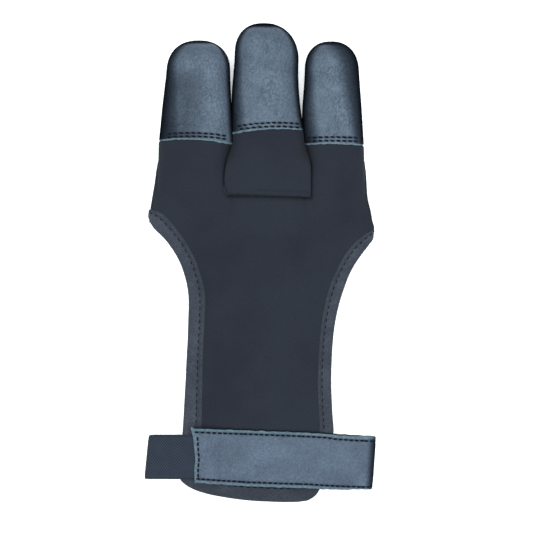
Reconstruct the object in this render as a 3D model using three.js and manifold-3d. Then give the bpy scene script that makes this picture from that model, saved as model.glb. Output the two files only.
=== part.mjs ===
// Three-finger archery glove for the right hand, lying palm side down.
// Millimetres, +Z up, +Y towards the fingertips, +X towards the ring finger.
import * as THREE from 'three';
import { mergeVertices } from 'three/addons/utils/BufferGeometryUtils.js';
import Module from 'manifold-3d';

const wasm = await Module();
wasm.setup();

// Walls and the clearance between pieces
const fabric = 1.6;
const fingerFabric = 1.5;
const tipLeather = 1.4;
const tape = 1.0;
const clearance = 0.3;

// Hand: the stretch fabric over the back and under the finger roots
const backLength = 153.6;
const crotchY = 46;
const knuckleHalf = 49.3;
const seamHeight = 6;
const knuckleHeight = 12.6;
const wristCrown = 11;
const waistHalf = 33;
const waistDroop = 3;
const palmLift = 1.35;
const endWall = 2.2;
const wristY = crotchY - backLength;

// Palm edge of the glove, a slanting line with the tape folded over it
const palmEdgeLeftY = 17;
const palmEdgeRightY = 8.5;
const palmTapeWidth = 7.4;

// Tape round the back: how far it reaches in from the outline
const leftTapeWidth = 7.3;
const rightTapeWidth = 6;
// The tape's inner edge at the wrist end lies just inside the strap's lower edge
const hiddenTape = 0.45;
const lobeNarrow = 0.8;

// Leather fingertips
const tipHeight = 16.8;
const mouthHeight = 15.8;
const rootHeight = 14.4;
const sleeveInside = 8;
const sleeveRoot = 3;
const mouthRamp = 2.4;
const mouthDip = 1.5;
// Middle finger from the roots of the fingers to its leather and to its end, and its dome
const sleeveLength = 14.2;
const fingerLength = 61.6;
const domeDepth = 16.6;

// root, mouth and dome are places across the hand and half and rootHalf half widths, all as shares
// of knuckleHalf. sleeve is a share of sleeveLength, long of fingerLength, deep of domeDepth,
// mouthLine from left to right of mouthDip, and domeShare says how much narrower the dome is.
const fingerTable = [
  {
    name: 'index_tip', root: -0.6024, mouth: -0.5842, dome: -0.5619, half: 0.3185, rootHalf: 0.3266,
    sleeve: 0.676, long: 0.8766, deep: 1, domeShare: 0.91, mouthLine: [0.13, 0.47, 0.07, -1],
  },
  {
    name: 'middle_tip', root: 0.071, mouth: 0.069, dome: 0.0487, half: 0.3266, rootHalf: 0.3266,
    sleeve: 1, long: 1, deep: 1, domeShare: 0.89, mouthLine: [-0.93, 0.13, 0.53, 0.13],
  },
  {
    name: 'ring_tip', root: 0.6795, mouth: 0.6755, dome: 0.6511, half: 0.2617, rootHalf: 0.2637,
    sleeve: 0.556, long: 0.8653, deep: 0.813, domeShare: 0.93, mouthLine: [0, 0.2, 0.07, -0.33],
  },
];
const fingers = fingerTable.map((row) => ({
  name: row.name,
  rootX: row.root * knuckleHalf,
  mouthX: row.mouth * knuckleHalf,
  domeX: row.dome * knuckleHalf,
  half: row.half * knuckleHalf,
  rootHalf: row.rootHalf * knuckleHalf,
  mouthY: crotchY + row.sleeve * sleeveLength,
  tipY: crotchY + row.long * fingerLength,
  domeLength: row.deep * domeDepth,
  domeShare: row.domeShare,
  mouthLine: row.mouthLine.map((share) => share * mouthDip),
}));
const [indexFinger, middleFinger, ringFinger] = fingers;

// Middle finger piece: its square base lies on the back of the hand, wider than the finger
const patchLength = 16.6;
const patchLeftFlare = 3.4;
const patchRightFlare = 3;
const patchCorner = 1.8;

// Wrist strap: leather over the back, woven elastic under the wrist, a loop over the glove
const strapThickness = 1.3;
const strapWidth = 24;
const strapTilt = -2.6;
const strapY = -87.9;
const strapLeftX = -31;
const strapRightX = 51.6;
const strapReturnX = -6.5;
const strapRamp = 8;
const webbingThickness = 1.2;
const webbingWidth = 19.3;
const webbingY = -87.4;
const webbingLeftX = -51.7;
const webbingOverlap = 5.5;
const webbingEndX = 24;
// The elastic rises over the end of the leather between these distances from it
const webbingRiseFrom = 10;
const webbingRiseTo = 2.1;
const fastenerThickness = 1;
const fastenerLength = 27;
const fastenerWidth = 16;
const foldRadius = 2.6;

// Sharpness of the rounded sections: 2 is an ellipse, more is squarer
const handRound = 2.6;
const tipRound = 2.7;
const domeRound = 2.4;
const bellyFlat = 1.14;
// Only the outermost points of a hand section move sideways when it grows
const sideGrow = 6;

// How finely the curved pieces are cut into faces
const fingerSegments = 8;
const tipSegments = 24;
const outlineSegments = 56;
const foldSegments = 4;
const mergeDistance = 1e-5;
// Where the tape's width goes over from the left value to the right one, as shares of its length
const widthTurnStart = 0.4;
const widthTurnEnd = 0.6;
// Cutting shapes reach this far past the glove
const below = -30;
const above = 40;
const beyond = 80;
const farBeyond = 240;

// Sections of the hand from the wrist to the finger roots. along is a share of backLength,
// centre and half of knuckleHalf, crown of knuckleHeight, droop of waistDroop, lift of palmLift,
// and fingers says how far the section has parted into three.
const handSections = [
  { along: -0.03, centre: 0, half: 1.015, crown: 0.6, droop: 0.4, lift: 1, fingers: 0 },
  { along: 0.045, centre: 0, half: 1.015, crown: 0.72, droop: 0.4, lift: 1, fingers: 0 },
  { along: 0.075, centre: 0, half: 1.015, crown: 0.8, droop: 0.4, lift: 1, fingers: 0 },
  { along: 0.12, centre: 0, half: 1.015, crown: wristCrown / knuckleHeight, droop: 0.4, lift: 1, fingers: 0 },
  { along: 0.2, centre: 0, half: 1.015, crown: wristCrown / knuckleHeight, droop: 0.42, lift: 1, fingers: 0 },
  { along: 0.3, centre: 0, half: 1.015, crown: 0.82, droop: 0.72, lift: 1, fingers: 0 },
  { along: 0.46, centre: 0, half: 1.015, crown: 0.79, droop: 1, lift: 1, fingers: 0 },
  { along: 0.62, centre: 0, half: 1.012, crown: 0.83, droop: 0.7, lift: 1, fingers: 0 },
  { along: 0.71, centre: 0.001, half: 1.01, crown: 0.9, droop: 0.2, lift: 1, fingers: 0 },
  { along: 0.75, centre: 0.002, half: 1.008, crown: 0.93, droop: 0, lift: 1, fingers: 0 },
  { along: 0.79, centre: 0.002, half: 1.006, crown: 0.965, droop: 0, lift: 1, fingers: 0 },
  { along: 0.84, centre: 0, half: 1, crown: 1, droop: 0, lift: 1, fingers: 0.04 },
  { along: 0.89, centre: -0.006, half: 0.982, crown: 1.04, droop: 0, lift: 1, fingers: 0.18 },
  { along: 0.93, centre: 0.001, half: 0.966, crown: 1.08, droop: 0, lift: 0, fingers: 0.45 },
  { along: 0.97, centre: 0.006, half: 0.954, crown: 1.11, droop: 0, lift: 0, fingers: 0.76 },
  { along: 1, centre: 0.008, half: 0.945, crown: 1.13, droop: 0, lift: 0, fingers: 0.94 },
];

// Outer line of the taped edge from the left knuckle round the wrist to the right knuckle.
// along is a share of backLength from the wrist end, across is a share of knuckleHalf.
const tapedOutline = [
  { along: 0.839, across: -1.026 },
  { along: 0.817, across: -1.006 },
  { along: 0.78, across: -0.899 },
  { along: 0.736, across: -0.789 },
  { along: 0.678, across: -0.702 },
  { along: 0.59, across: -0.65 },
  { along: 0.414, across: -0.672 },
  { along: 0.206, across: -0.708 },
  { along: 0.082, across: -0.733 },
  { along: 0.052, across: -0.69 },
  { along: 0.0295, across: -0.54 },
  { along: 0.0115, across: -0.275 },
  { along: 0.001, across: 0.04 },
  { along: 0, across: 0.27 },
  { along: 0.005, across: 0.42 },
  { along: 0.024, across: 0.51 },
  { along: 0.082, across: 0.592 },
  { along: 0.206, across: 0.669 },
  { along: 0.385, across: 0.645 },
  { along: 0.56, across: 0.702 },
  { along: 0.648, across: 0.789 },
  { along: 0.707, across: 0.88 },
  { along: 0.75, across: 0.986 },
  { along: 0.78, across: 1.03 },
  { along: 0.812, across: 1.032 },
];

// Stations of the finger dome, as shares of its length counted from the fingertip
const domeStations = [1, 0.72, 0.48, 0.3, 0.16, 0.06, 0.012];
// Stations of the finger barrel, as shares of the way from the mouth to the dome
const barrelStations = [0, 0.35, 0.7];
// How a sleeve narrows before the leather: toGo is a share of mouthRamp, narrowed of the whole
// narrowing, and raised of its lift over the fabric of the back
const sleeveStations = [
  { toGo: 1, narrowed: 0, raised: 0.2 },
  { toGo: 0.35, narrowed: 0.55, raised: 0 },
  { toGo: 0, narrowed: 1, raised: 0 },
];
// Left edge of the middle finger's base: along is a share of patchLength, in of patchCorner
const patchLeftEdge = [
  { along: 0.1, in: 0.33 },
  { along: 0.4, in: 0 },
  { along: 0.75, in: 0.17 },
  { along: 1, in: 1 },
];

// A smooth value between the rows of a table, at a place along it
function valueAlong(rows, column, along) {
  const last = rows.length - 1;
  let i = 0;
  while (i < last - 1 && along > rows[i + 1].along) i += 1;
  const before = rows[Math.max(i - 1, 0)];
  const start = rows[i];
  const end = rows[i + 1];
  const after = rows[Math.min(i + 2, last)];
  const span = end.along - start.along;
  const share = THREE.MathUtils.clamp((along - start.along) / span, 0, 1);
  const startSlope = ((end[column] - before[column]) / (end.along - before.along)) * span;
  const endSlope = ((after[column] - start[column]) / (after.along - start.along)) * span;
  const square = share * share;
  const cube = square * share;
  return (2 * cube - 3 * square + 1) * start[column] + (cube - 2 * square + share) * startSlope
    + (3 * square - 2 * cube) * end[column] + (cube - square) * endSlope;
}

// Height share of a rounded section at a share of its half width
function rounded(share, power) {
  return (1 - Math.min(Math.abs(share), 1) ** power) ** (1 / power);
}

// A closed solid through rings of points that all have the same number of points,
// with flat ends, or with its last ring drawn to a point
function loft(rings, apex) {
  const count = rings[0].length;
  const positions = [];
  const triangles = [];
  rings.forEach((ring) => ring.forEach((point) => positions.push(point.x, point.y, point.z)));
  for (let row = 0; row < rings.length - 1; row += 1) {
    for (let i = 0; i < count; i += 1) {
      const a = row * count + i;
      const b = row * count + ((i + 1) % count);
      triangles.push(a, b, a + count, b, b + count, a + count);
    }
  }
  const lastRow = (rings.length - 1) * count;
  flatEnd(count).reverse().forEach((index) => triangles.push(index));
  if (apex) {
    positions.push(apex.x, apex.y, apex.z);
    for (let i = 0; i < count; i += 1) {
      triangles.push(lastRow + count, lastRow + i, lastRow + ((i + 1) % count));
    }
  } else {
    flatEnd(count).forEach((index) => triangles.push(lastRow + index));
  }
  const geometry = new THREE.BufferGeometry();
  geometry.setAttribute('position', new THREE.Float32BufferAttribute(positions, 3));
  geometry.setIndex(triangles);
  return toSolid(geometry);
}

// Triangles that close a ring, in strips between its points above and those below them
function flatEnd(count) {
  const faces = [];
  for (let i = 0; i < count / 2; i += 1) {
    const opposite = (count - i) % count;
    const nextOpposite = count - i - 1;
    if (nextOpposite !== i + 1) faces.push(i, i + 1, nextOpposite);
    if (opposite !== i) faces.push(i, nextOpposite, opposite);
  }
  return faces;
}

// Signed volume of an indexed geometry, positive where its faces point out
function signedVolume(positions, triangles) {
  const corner = [new THREE.Vector3(), new THREE.Vector3(), new THREE.Vector3()];
  let volume = 0;
  for (let i = 0; i < triangles.length; i += 3) {
    corner.forEach((point, k) => point.fromArray(positions, triangles[i + k] * 3));
    volume += corner[0].dot(corner[1].clone().cross(corner[2])) / 6;
  }
  return volume;
}

// A closed geometry as a solid that can be joined and cut
function toSolid(geometry) {
  geometry.deleteAttribute('normal');
  geometry.deleteAttribute('uv');
  const merged = mergeVertices(geometry, mergeDistance);
  const positions = Float32Array.from(merged.attributes.position.array);
  const triangles = Uint32Array.from(merged.index.array);
  if (signedVolume(positions, triangles) < 0) triangles.reverse();
  const mesh = new wasm.Mesh({ numProp: 3, vertProperties: positions, triVerts: triangles });
  return new wasm.Manifold(mesh);
}

// An upright prism over a plan outline
function prism(points, low, high) {
  const shape = new THREE.Shape(points.map(([x, y]) => new THREE.Vector2(x, y)));
  const geometry = new THREE.ExtrudeGeometry(shape, { depth: high - low, bevelEnabled: false });
  geometry.translate(0, 0, low);
  return toSolid(geometry);
}

function joined(solids) {
  return solids.reduce((whole, solid) => whole.add(solid));
}

// Values of the hand's section at a distance from the wrist
function handSection(y) {
  const along = (y - wristY) / backLength;
  const value = (column) => valueAlong(handSections, column, along);
  return {
    centre: value('centre') * knuckleHalf,
    half: value('half') * knuckleHalf,
    crown: value('crown') * knuckleHeight,
    droop: value('droop') * waistDroop,
    lift: Math.max(value('lift'), 0) * palmLift,
    parted: THREE.MathUtils.clamp(value('fingers'), 0, 1),
  };
}

// Point of the back at a share of the hand's half width, moved out by grow
function backPoint(section, share, y, grow) {
  const x = section.centre + section.half * share;
  const arch = (section.crown - seamHeight) * rounded(share, handRound);
  const hills = fingers.map((finger) => (
    (rootHeight - seamHeight) * rounded((x - finger.rootX) / (finger.rootHalf + clearance), handRound)
  ));
  const rise = THREE.MathUtils.lerp(arch, Math.max(...hills), section.parted);
  const sideways = grow * Math.sign(share) * Math.abs(share) ** sideGrow;
  const up = grow * rounded(share, handRound);
  return new THREE.Vector3(x + sideways, y, seamHeight + rise - sag(section, share) + up);
}

// How far the free back hangs down at a share of its half width
function sag(section, share) {
  return section.droop * ((section.half * share) / waistHalf) ** 2;
}

// Shares of the hand's width where its rings have points, closer at each finger's sides
const crotchHalf = handSections[handSections.length - 1].half * knuckleHalf;
const widthShares = [-1];
fingers.forEach((finger) => {
  for (let i = 1; i < fingerSegments; i += 1) {
    const turn = Math.cos(Math.PI * (1 - i / fingerSegments));
    widthShares.push((finger.rootX + finger.rootHalf * turn) / crotchHalf);
  }
  if (finger !== ringFinger) widthShares.push((finger.rootX + finger.rootHalf) / crotchHalf);
});
widthShares.push(1);

// Solid hand, moved out by grow; an open hand reaches far below, to cut the palm side away
function handSolid(grow, open) {
  const stations = handSections.map((row) => wristY + row.along * backLength);
  const last = stations.length - 1;
  stations[last] += Math.min(grow, 0) * (endWall / fabric);
  const rings = stations.map((y) => {
    const section = handSection(y);
    const ring = widthShares.map((share) => backPoint(section, share, y, grow));
    const inner = widthShares.slice(1, -1).reverse();
    inner.forEach((share) => {
      const depth = (seamHeight - section.lift + grow) * bellyFlat * rounded(share, handRound);
      const floor = Math.max(section.lift - grow, seamHeight - depth);
      ring.push(new THREE.Vector3(
        section.centre + (section.half + grow) * share, y, open ? below : floor - sag(section, share),
      ));
    });
    return ring;
  });
  return loft(rings);
}

function middleOf(ring) {
  const middle = new THREE.Vector3();
  ring.forEach((point) => middle.add(point));
  return middle.divideScalar(ring.length);
}

// Section of a finger: its centre, half width, top and underside at a distance along it
function fingerSection(finger, y, grow) {
  const tipY = finger.tipY + grow;
  const fromTip = Math.max(tipY - y, 0);
  const domeY = finger.tipY - finger.domeLength;
  const toDome = THREE.MathUtils.clamp((y - finger.mouthY) / (domeY - finger.mouthY), 0, 1);
  const toRoot = THREE.MathUtils.clamp((finger.mouthY - y) / (finger.mouthY - crotchY), 0, 1);
  const centre = THREE.MathUtils.lerp(
    THREE.MathUtils.lerp(finger.mouthX, finger.domeX, toDome), finger.rootX, toRoot,
  );
  const width = THREE.MathUtils.lerp(finger.half, finger.rootHalf, toRoot);
  const barrel = width * THREE.MathUtils.lerp(1, finger.domeShare, toDome) + grow;
  const inDome = Math.min(fromTip / (finger.domeLength + grow), 1);
  const dome = rounded(1 - inDome, domeRound);
  const barrelHeight = THREE.MathUtils.lerp(mouthHeight, tipHeight, toDome);
  const height = THREE.MathUtils.lerp(barrelHeight, rootHeight, toRoot);
  return { centre, half: barrel * dome, rise: (height - seamHeight + grow) * dome, sink: dome };
}

function fingerRing(finger, y, grow, raise) {
  const section = fingerSection(finger, y, grow);
  const ring = [];
  for (let i = 0; i < tipSegments; i += 1) {
    const angle = (2 * Math.PI * i) / tipSegments;
    const across = Math.sign(Math.cos(angle)) * Math.abs(Math.cos(angle)) ** (2 / tipRound);
    const up = Math.abs(Math.sin(angle)) ** (2 / tipRound);
    const top = seamHeight + (section.rise + raise) * up;
    const depth = (seamHeight + grow) * section.sink;
    const under = Math.max(seamHeight - depth, seamHeight - depth * bellyFlat * up);
    const z = Math.sin(angle) >= 0 ? top : under;
    ring.push(new THREE.Vector3(section.centre + section.half * across, y, z));
  }
  return ring;
}

// Leather fingertip as a solid, moved out by grow, from a little below its mouth
function tipSolid(finger, grow) {
  const domeLength = finger.domeLength + grow;
  const domeY = finger.tipY - finger.domeLength;
  const startY = finger.mouthY - mouthRamp;
  const barrel = barrelStations.map((share) => THREE.MathUtils.lerp(finger.mouthY, domeY, share));
  const dome = domeStations.map((share) => finger.tipY + grow - share * domeLength);
  const rings = [startY, ...barrel, ...dome].map((y) => fingerRing(finger, y, grow, 0));
  const end = middleOf(rings[rings.length - 1]);
  end.y = finger.tipY + grow;
  return loft(rings, end);
}

// Fabric finger sleeve as a solid: full width at the root, narrowed where the leather covers it
function sleeveSolid(finger, thinner, rootY, endY, raise) {
  const inLeather = -tipLeather - clearance;
  const lowestMouth = finger.mouthY + Math.min(...finger.mouthLine) - clearance;
  const ramp = sleeveStations.map((row) => (
    { y: lowestMouth - row.toGo * mouthRamp, grow: row.narrowed * inLeather, lift: row.raised * raise }
  ));
  const stations = [
    { y: rootY, grow: 0, lift: raise },
    { y: crotchY, grow: 0, lift: raise },
    ...ramp,
    { y: endY, grow: inLeather, lift: 0 },
  ];
  const rings = stations.map((row) => fingerRing(finger, row.y, row.grow - thinner, row.lift));
  return loft(rings);
}

// Plan of the leather's raw mouth: everything on the fingertip's side of it
function mouthPrism(finger) {
  const left = finger.mouthX - finger.half - tipLeather;
  const width = (finger.half + tipLeather) * 2;
  const last = finger.mouthLine.length - 1;
  const line = finger.mouthLine.map((dip, i) => [left + (width * i) / last, finger.mouthY + dip]);
  const far = finger.tipY + tipHeight;
  return prism([...line, [left + width, far], [left, far]], below, above);
}

// The taped outline as points, moved in by a distance that may differ from left to right
const outlineCurve = new THREE.CatmullRomCurve3(tapedOutline.map((row) => (
  new THREE.Vector3(row.across * knuckleHalf, wristY + row.along * backLength, 0)
)), false, 'centripetal');
function outlinePoints(leftInset, rightInset, keep = () => true) {
  const points = [];
  for (let i = 0; i <= outlineSegments; i += 1) {
    const share = i / outlineSegments;
    const point = outlineCurve.getPointAt(share);
    const tangent = outlineCurve.getTangentAt(share);
    const turned = THREE.MathUtils.smoothstep(share, widthTurnStart, widthTurnEnd);
    const inset = THREE.MathUtils.lerp(leftInset, rightInset, turned);
    if (keep(point)) points.push([point.x - tangent.y * inset, point.y + tangent.x * inset]);
  }
  return points;
}

// Plan of the back inside its outline, moved in by an inset, and open towards the fingers
function outlinePrism(inset) {
  const points = outlinePoints(inset, inset);
  const start = points[0];
  const end = points[points.length - 1];
  points.push([beyond, end[1] + inset], [beyond, farBeyond]);
  points.push([-beyond, farBeyond], [-beyond, start[1] + inset]);
  return prism(points, below, above);
}

// Plan of all that the tape leaves bare, up to where it turns under at the two knuckles
function barePrism() {
  const points = outlinePoints(leftTapeWidth, rightTapeWidth, (point) => (
    point.y > strapY && point.y < (point.x < 0 ? palmEdgeLeftY - tape * 2 : palmEdgeRightY)
  ));
  const firstRight = points.findIndex(([x]) => x > 0);
  const low = strapY - strapWidth * hiddenTape;
  points.splice(firstRight, 0, [points[firstRight - 1][0], low], [points[firstRight][0] * lobeNarrow, low]);
  const right = [knuckleHalf, palmEdgeRightY + palmTapeWidth - tape];
  const left = [-knuckleHalf, palmEdgeLeftY + palmTapeWidth + tape];
  points.push(right, [beyond, right[1] + tape], [beyond, farBeyond]);
  points.push([-beyond, farBeyond], [-beyond, left[1] + tape], left);
  return prism(points, below, above);
}

// Plan of a strip along the palm edge, between two distances from its line
function palmPrism(from, to, low, high) {
  const slope = (palmEdgeRightY - palmEdgeLeftY) / (2 * knuckleHalf);
  const lineY = (x) => (palmEdgeLeftY + palmEdgeRightY) / 2 + slope * x;
  const corners = [
    [-beyond, lineY(-beyond) + from], [beyond, lineY(beyond) + from],
    [beyond, lineY(beyond) + to], [-beyond, lineY(-beyond) + to],
  ];
  return prism(corners, low, high);
}

function slab(fromY, toY, low, high) {
  return prism([[-beyond, fromY], [beyond, fromY], [beyond, toY], [-beyond, toY]], low, high);
}

const rootY = crotchY - sleeveRoot;
const lowerHalf = (gap) => slab(0, farBeyond, below, seamHeight + gap);
const upperHalf = (gap) => slab(-farBeyond, farBeyond, seamHeight - gap, above);
const sleeveEnd = (finger) => finger.mouthY + sleeveInside;

// The whole fabric shell, with its walls moved apart by spread on both faces
function fabricShell(spread) {
  const outer = joined([handSolid(spread, false), ...fingers.map((finger) => (
    sleeveSolid(finger, -spread, rootY, sleeveEnd(finger), 0)
  ))]);
  const hollow = joined([
    handSolid(-fabric - spread, false),
    handSolid(-fabric - spread, true).intersect(palmPrism(-farBeyond, 0, -farBeyond, above)),
    ...fingers.map((finger) => (
      sleeveSolid(finger, fabric + spread, rootY - sleeveInside, sleeveEnd(finger) + sleeveInside, 0)
    )),
  ]);
  return outer.subtract(hollow);
}

const shell = fabricShell(0);
const between = (left, right) => (left.rootX + left.rootHalf + right.rootX - right.rootHalf) / 2;
const besideIndex = between(indexFinger, middleFinger);
const besideRing = between(middleFinger, ringFinger);
const overMiddle = prism([
  [besideIndex, rootY - clearance], [besideRing, rootY - clearance],
  [besideRing, beyond], [besideIndex, beyond],
], seamHeight - clearance, above);

// Back of the hand with the backs of the index and ring fingers, cut to the taped outline
function backPanel() {
  return shell.intersect(outlinePrism(tape + clearance))
    .subtract(lowerHalf(clearance / 2)).subtract(overMiddle);
}

// Palm side of the fingers and the band under the knuckles
function palmPanel() {
  return shell.intersect(palmPrism(tape + clearance, farBeyond, below, seamHeight - clearance / 2));
}

// Back of the middle finger, with its base lying on the back of the hand
function middleFingerPanel() {
  const raise = clearance + fingerFabric;
  const outer = sleeveSolid(middleFinger, 0, crotchY - clearance, sleeveEnd(middleFinger), raise);
  const hollow = sleeveSolid(
    middleFinger, fingerFabric, crotchY - patchLength, sleeveEnd(middleFinger) + sleeveInside, raise,
  );
  const sleeve = outer.subtract(hollow);
  const leftX = middleFinger.rootX - middleFinger.rootHalf;
  const rightX = middleFinger.rootX + middleFinger.rootHalf;
  const leftEdge = patchLeftEdge.map((row) => (
    [leftX - patchLeftFlare + row.in * patchCorner, crotchY - row.along * patchLength]
  ));
  const plan = prism([
    [leftX, crotchY + clearance], ...leftEdge, [rightX + patchRightFlare, crotchY - patchLength],
    [rightX + patchRightFlare, leftEdge[0][1]], [rightX, crotchY + clearance],
  ], seamHeight, above);
  const base = handSolid(clearance + fingerFabric, false)
    .subtract(handSolid(clearance, false)).intersect(plan);
  const neighbours = [indexFinger, ringFinger].map((finger) => (
    sleeveSolid(finger, -clearance, rootY, sleeveEnd(finger), 0)
  ));
  return joined([sleeve.intersect(upperHalf(-clearance / 2)), base]).subtract(joined(neighbours));
}

// Hollow leather fingertip, raw cut along its mouth
function fingertip(finger) {
  const hollow = tipSolid(finger, -tipLeather);
  return tipSolid(finger, 0).subtract(hollow).intersect(mouthPrism(finger));
}

// Tape folded over the edge of the back and of the palm band, all in one loop
function edgeBinding() {
  const wrapped = fabricShell(tape + clearance);
  const grown = fabricShell(clearance);
  const backBand = wrapped.intersect(outlinePrism(0)).subtract(barePrism())
    .intersect(slab(-farBeyond, crotchY, below, above)).subtract(slab(0, crotchY, below, seamHeight));
  const palmBand = wrapped.intersect(palmPrism(0, palmTapeWidth, below, seamHeight + tape));
  const backSheet = grown.intersect(outlinePrism(tape)).subtract(slab(0, crotchY, below, seamHeight));
  const palmSheet = grown.intersect(palmPrism(tape, farBeyond, below, seamHeight + tape));
  return joined([backBand, palmBand]).subtract(joined([backSheet, palmSheet]));
}

// A flat strap that follows a side view path of x and z, laid across the wrist
function strapSolid(path, thickness, width, middleY) {
  const curve = path.map(([x, z]) => new THREE.Vector2(x, z));
  const sides = [[], []];
  curve.forEach((point, i) => {
    const back = curve[Math.max(i - 1, 0)];
    const next = curve[Math.min(i + 1, curve.length - 1)];
    const first = point.clone().sub(back).normalize();
    const second = next.clone().sub(point).normalize();
    const tangent = first.add(second).normalize();
    const inMitre = i > 0 && i < curve.length - 1;
    const turn = inMitre ? tangent.dot(next.clone().sub(point).normalize()) : 1;
    const apart = thickness / 2 / turn;
    sides[0].push(new THREE.Vector2(point.x - tangent.y * apart, point.y + tangent.x * apart));
    sides[1].push(new THREE.Vector2(point.x + tangent.y * apart, point.y - tangent.x * apart));
  });
  const shape = new THREE.Shape([...sides[0], ...sides[1].reverse()]);
  const geometry = new THREE.ExtrudeGeometry(shape, { depth: width, bevelEnabled: false });
  geometry.rotateX(Math.PI / 2);
  geometry.translate(0, middleY + width / 2, 0);
  return geometry;
}

// Points of the two rounded corners where a strap folds from the front run to the floor run
function foldPoints(x, side, top, bottom) {
  const points = [];
  [[top - foldRadius, 0], [bottom + foldRadius, 1]].forEach(([z, lower]) => {
    for (let i = 0; i <= foldSegments; i += 1) {
      const angle = ((lower + i / foldSegments) * Math.PI) / 2;
      points.push([x + side * (Math.sin(angle) * foldRadius - foldRadius), z + Math.cos(angle) * foldRadius]);
    }
  });
  return points;
}

const onBack = wristCrown + clearance;
const webbingTop = onBack + webbingThickness / 2;
const overWebbing = onBack + webbingThickness + clearance + strapThickness / 2;
const strapTop = onBack + strapThickness / 2;
const fastenerBottom = strapThickness + clearance;
const webbingOverFastener = fastenerBottom + fastenerThickness + clearance + webbingThickness / 2;

function strapLeather() {
  const webbingStart = strapLeftX + webbingOverlap;
  const path = [
    [strapLeftX, overWebbing], [webbingStart + clearance, overWebbing],
    [webbingStart + strapRamp, strapTop],
    ...foldPoints(strapRightX - strapThickness / 2, 1, strapTop, strapThickness / 2),
    [strapReturnX, strapThickness / 2],
  ];
  const geometry = strapSolid(path, strapThickness, strapWidth, 0);
  geometry.rotateZ(THREE.MathUtils.degToRad(strapTilt));
  geometry.translate(0, strapY, 0);
  return toSolid(geometry);
}

function strapWebbing() {
  const path = [
    [strapLeftX + webbingOverlap, webbingTop],
    ...foldPoints(webbingLeftX + webbingThickness / 2, -1, webbingTop, webbingThickness / 2),
    [strapReturnX - webbingRiseFrom, webbingThickness / 2],
    [strapReturnX - webbingRiseTo, webbingOverFastener], [webbingEndX, webbingOverFastener],
  ];
  return toSolid(strapSolid(path, webbingThickness, webbingWidth, webbingY));
}

// Hook and loop patch between the two strap ends, hidden under the wrist
function strapFastener() {
  const geometry = new THREE.BoxGeometry(fastenerLength, fastenerWidth, fastenerThickness);
  const middleX = strapReturnX + (fastenerLength + strapThickness * 2) / 2;
  geometry.translate(middleX, webbingY, fastenerBottom + fastenerThickness / 2);
  return toSolid(geometry);
}

const blackFabric = { color: 0x30343d, roughness: 0.9, metalness: 0 };
const blackLeather = { color: 0x3d4752, roughness: 0.45, metalness: 0 };
const greyTape = { color: 0x454c5a, roughness: 0.85, metalness: 0 };
const wovenElastic = { color: 0x333c49, roughness: 0.9, metalness: 0 };

const glove = new THREE.Group();
function addPiece(name, solid, finish) {
  const { vertProperties, triVerts } = solid.getMesh();
  const geometry = new THREE.BufferGeometry();
  geometry.setAttribute('position', new THREE.BufferAttribute(Float32Array.from(vertProperties), 3));
  geometry.setIndex([...triVerts]);
  geometry.computeVertexNormals();
  const mesh = new THREE.Mesh(geometry, new THREE.MeshStandardMaterial(finish));
  mesh.name = name;
  glove.add(mesh);
}

addPiece('back_panel', backPanel(), blackFabric);
addPiece('palm_panel', palmPanel(), blackFabric);
addPiece('middle_finger_panel', middleFingerPanel(), blackFabric);
fingers.forEach((finger) => addPiece(finger.name, fingertip(finger), blackLeather));
addPiece('edge_binding', edgeBinding(), greyTape);
addPiece('strap_leather', strapLeather(), blackLeather);
addPiece('strap_webbing', strapWebbing(), wovenElastic);
addPiece('strap_fastener', strapFastener(), wovenElastic);

// The origin is under the middle of the whole glove
const extent = new THREE.Box3().setFromObject(glove);
const middle = extent.getCenter(new THREE.Vector3());
glove.position.set(-middle.x, -middle.y, -extent.min.z);

export default glove;
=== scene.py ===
import math

import bmesh
import bpy
import numpy as np
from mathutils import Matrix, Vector, noise


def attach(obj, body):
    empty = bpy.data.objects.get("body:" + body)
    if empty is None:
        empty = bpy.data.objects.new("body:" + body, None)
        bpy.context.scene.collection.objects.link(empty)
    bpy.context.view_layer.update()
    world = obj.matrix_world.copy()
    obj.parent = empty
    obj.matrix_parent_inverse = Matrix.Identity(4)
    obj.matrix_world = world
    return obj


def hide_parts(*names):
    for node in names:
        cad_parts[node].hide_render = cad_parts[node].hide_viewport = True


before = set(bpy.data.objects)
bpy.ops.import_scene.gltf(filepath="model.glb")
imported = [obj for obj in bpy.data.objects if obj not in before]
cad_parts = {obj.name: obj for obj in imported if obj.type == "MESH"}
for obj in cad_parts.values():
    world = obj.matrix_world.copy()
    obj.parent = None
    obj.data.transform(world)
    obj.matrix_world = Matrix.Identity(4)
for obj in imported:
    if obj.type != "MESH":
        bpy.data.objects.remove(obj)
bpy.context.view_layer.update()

# Palm side fabric
# Stretch knit under the three fingers and in a short band under the knuckles, cut in one piece
# with three finger shapes and sewn to the back along the sides of the hand.
# It lies on the table, so its underside is pressed flat.
MM = 0.001
FABRIC = 1.6
# Height of the seam between back and palm side, how square the rounded sections are, where 2 is
# an ellipse, and how far the underside is pressed flat
SEAM = 6.0
ROUND = 2.6
BELLY = 1.14
# Half width at which the free back hangs down by its whole droop
WAIST = 33.0
# Here the hand parts into three fingers
CROTCH = 46.0
CROTCH_HALF = 46.2
ROOT_HEIGHT = 14.4
# The sleeves swell a little up to SWELL_END, narrow by IN_LEATHER between two distances past the
# leather's mouth, and end inside the leather
SWELL = 0.5
SWELL_END = 52
IN_LEATHER = 1.75
TUCK = (-0.4, 0.9)
SLEEVE_END = 7.0
SLEEVE_TOP = 68.1
# Open edge of the palm band: its place at the middle of the hand, how far it falls over the hand's
# width, and how far inside the tape the fabric ends
PALM_EDGE = 12.75
PALM_FALL = 8.5
HAND_WIDTH = 98.6
PALM_INSET = 1.4
# How finely the fabric is laid out
PALM_ROWS = 33
FINGER_COLUMNS = 37
ROW_STEP = 0.5
CRISP = math.radians(50)
SMALLEST = 1e-9

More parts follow.
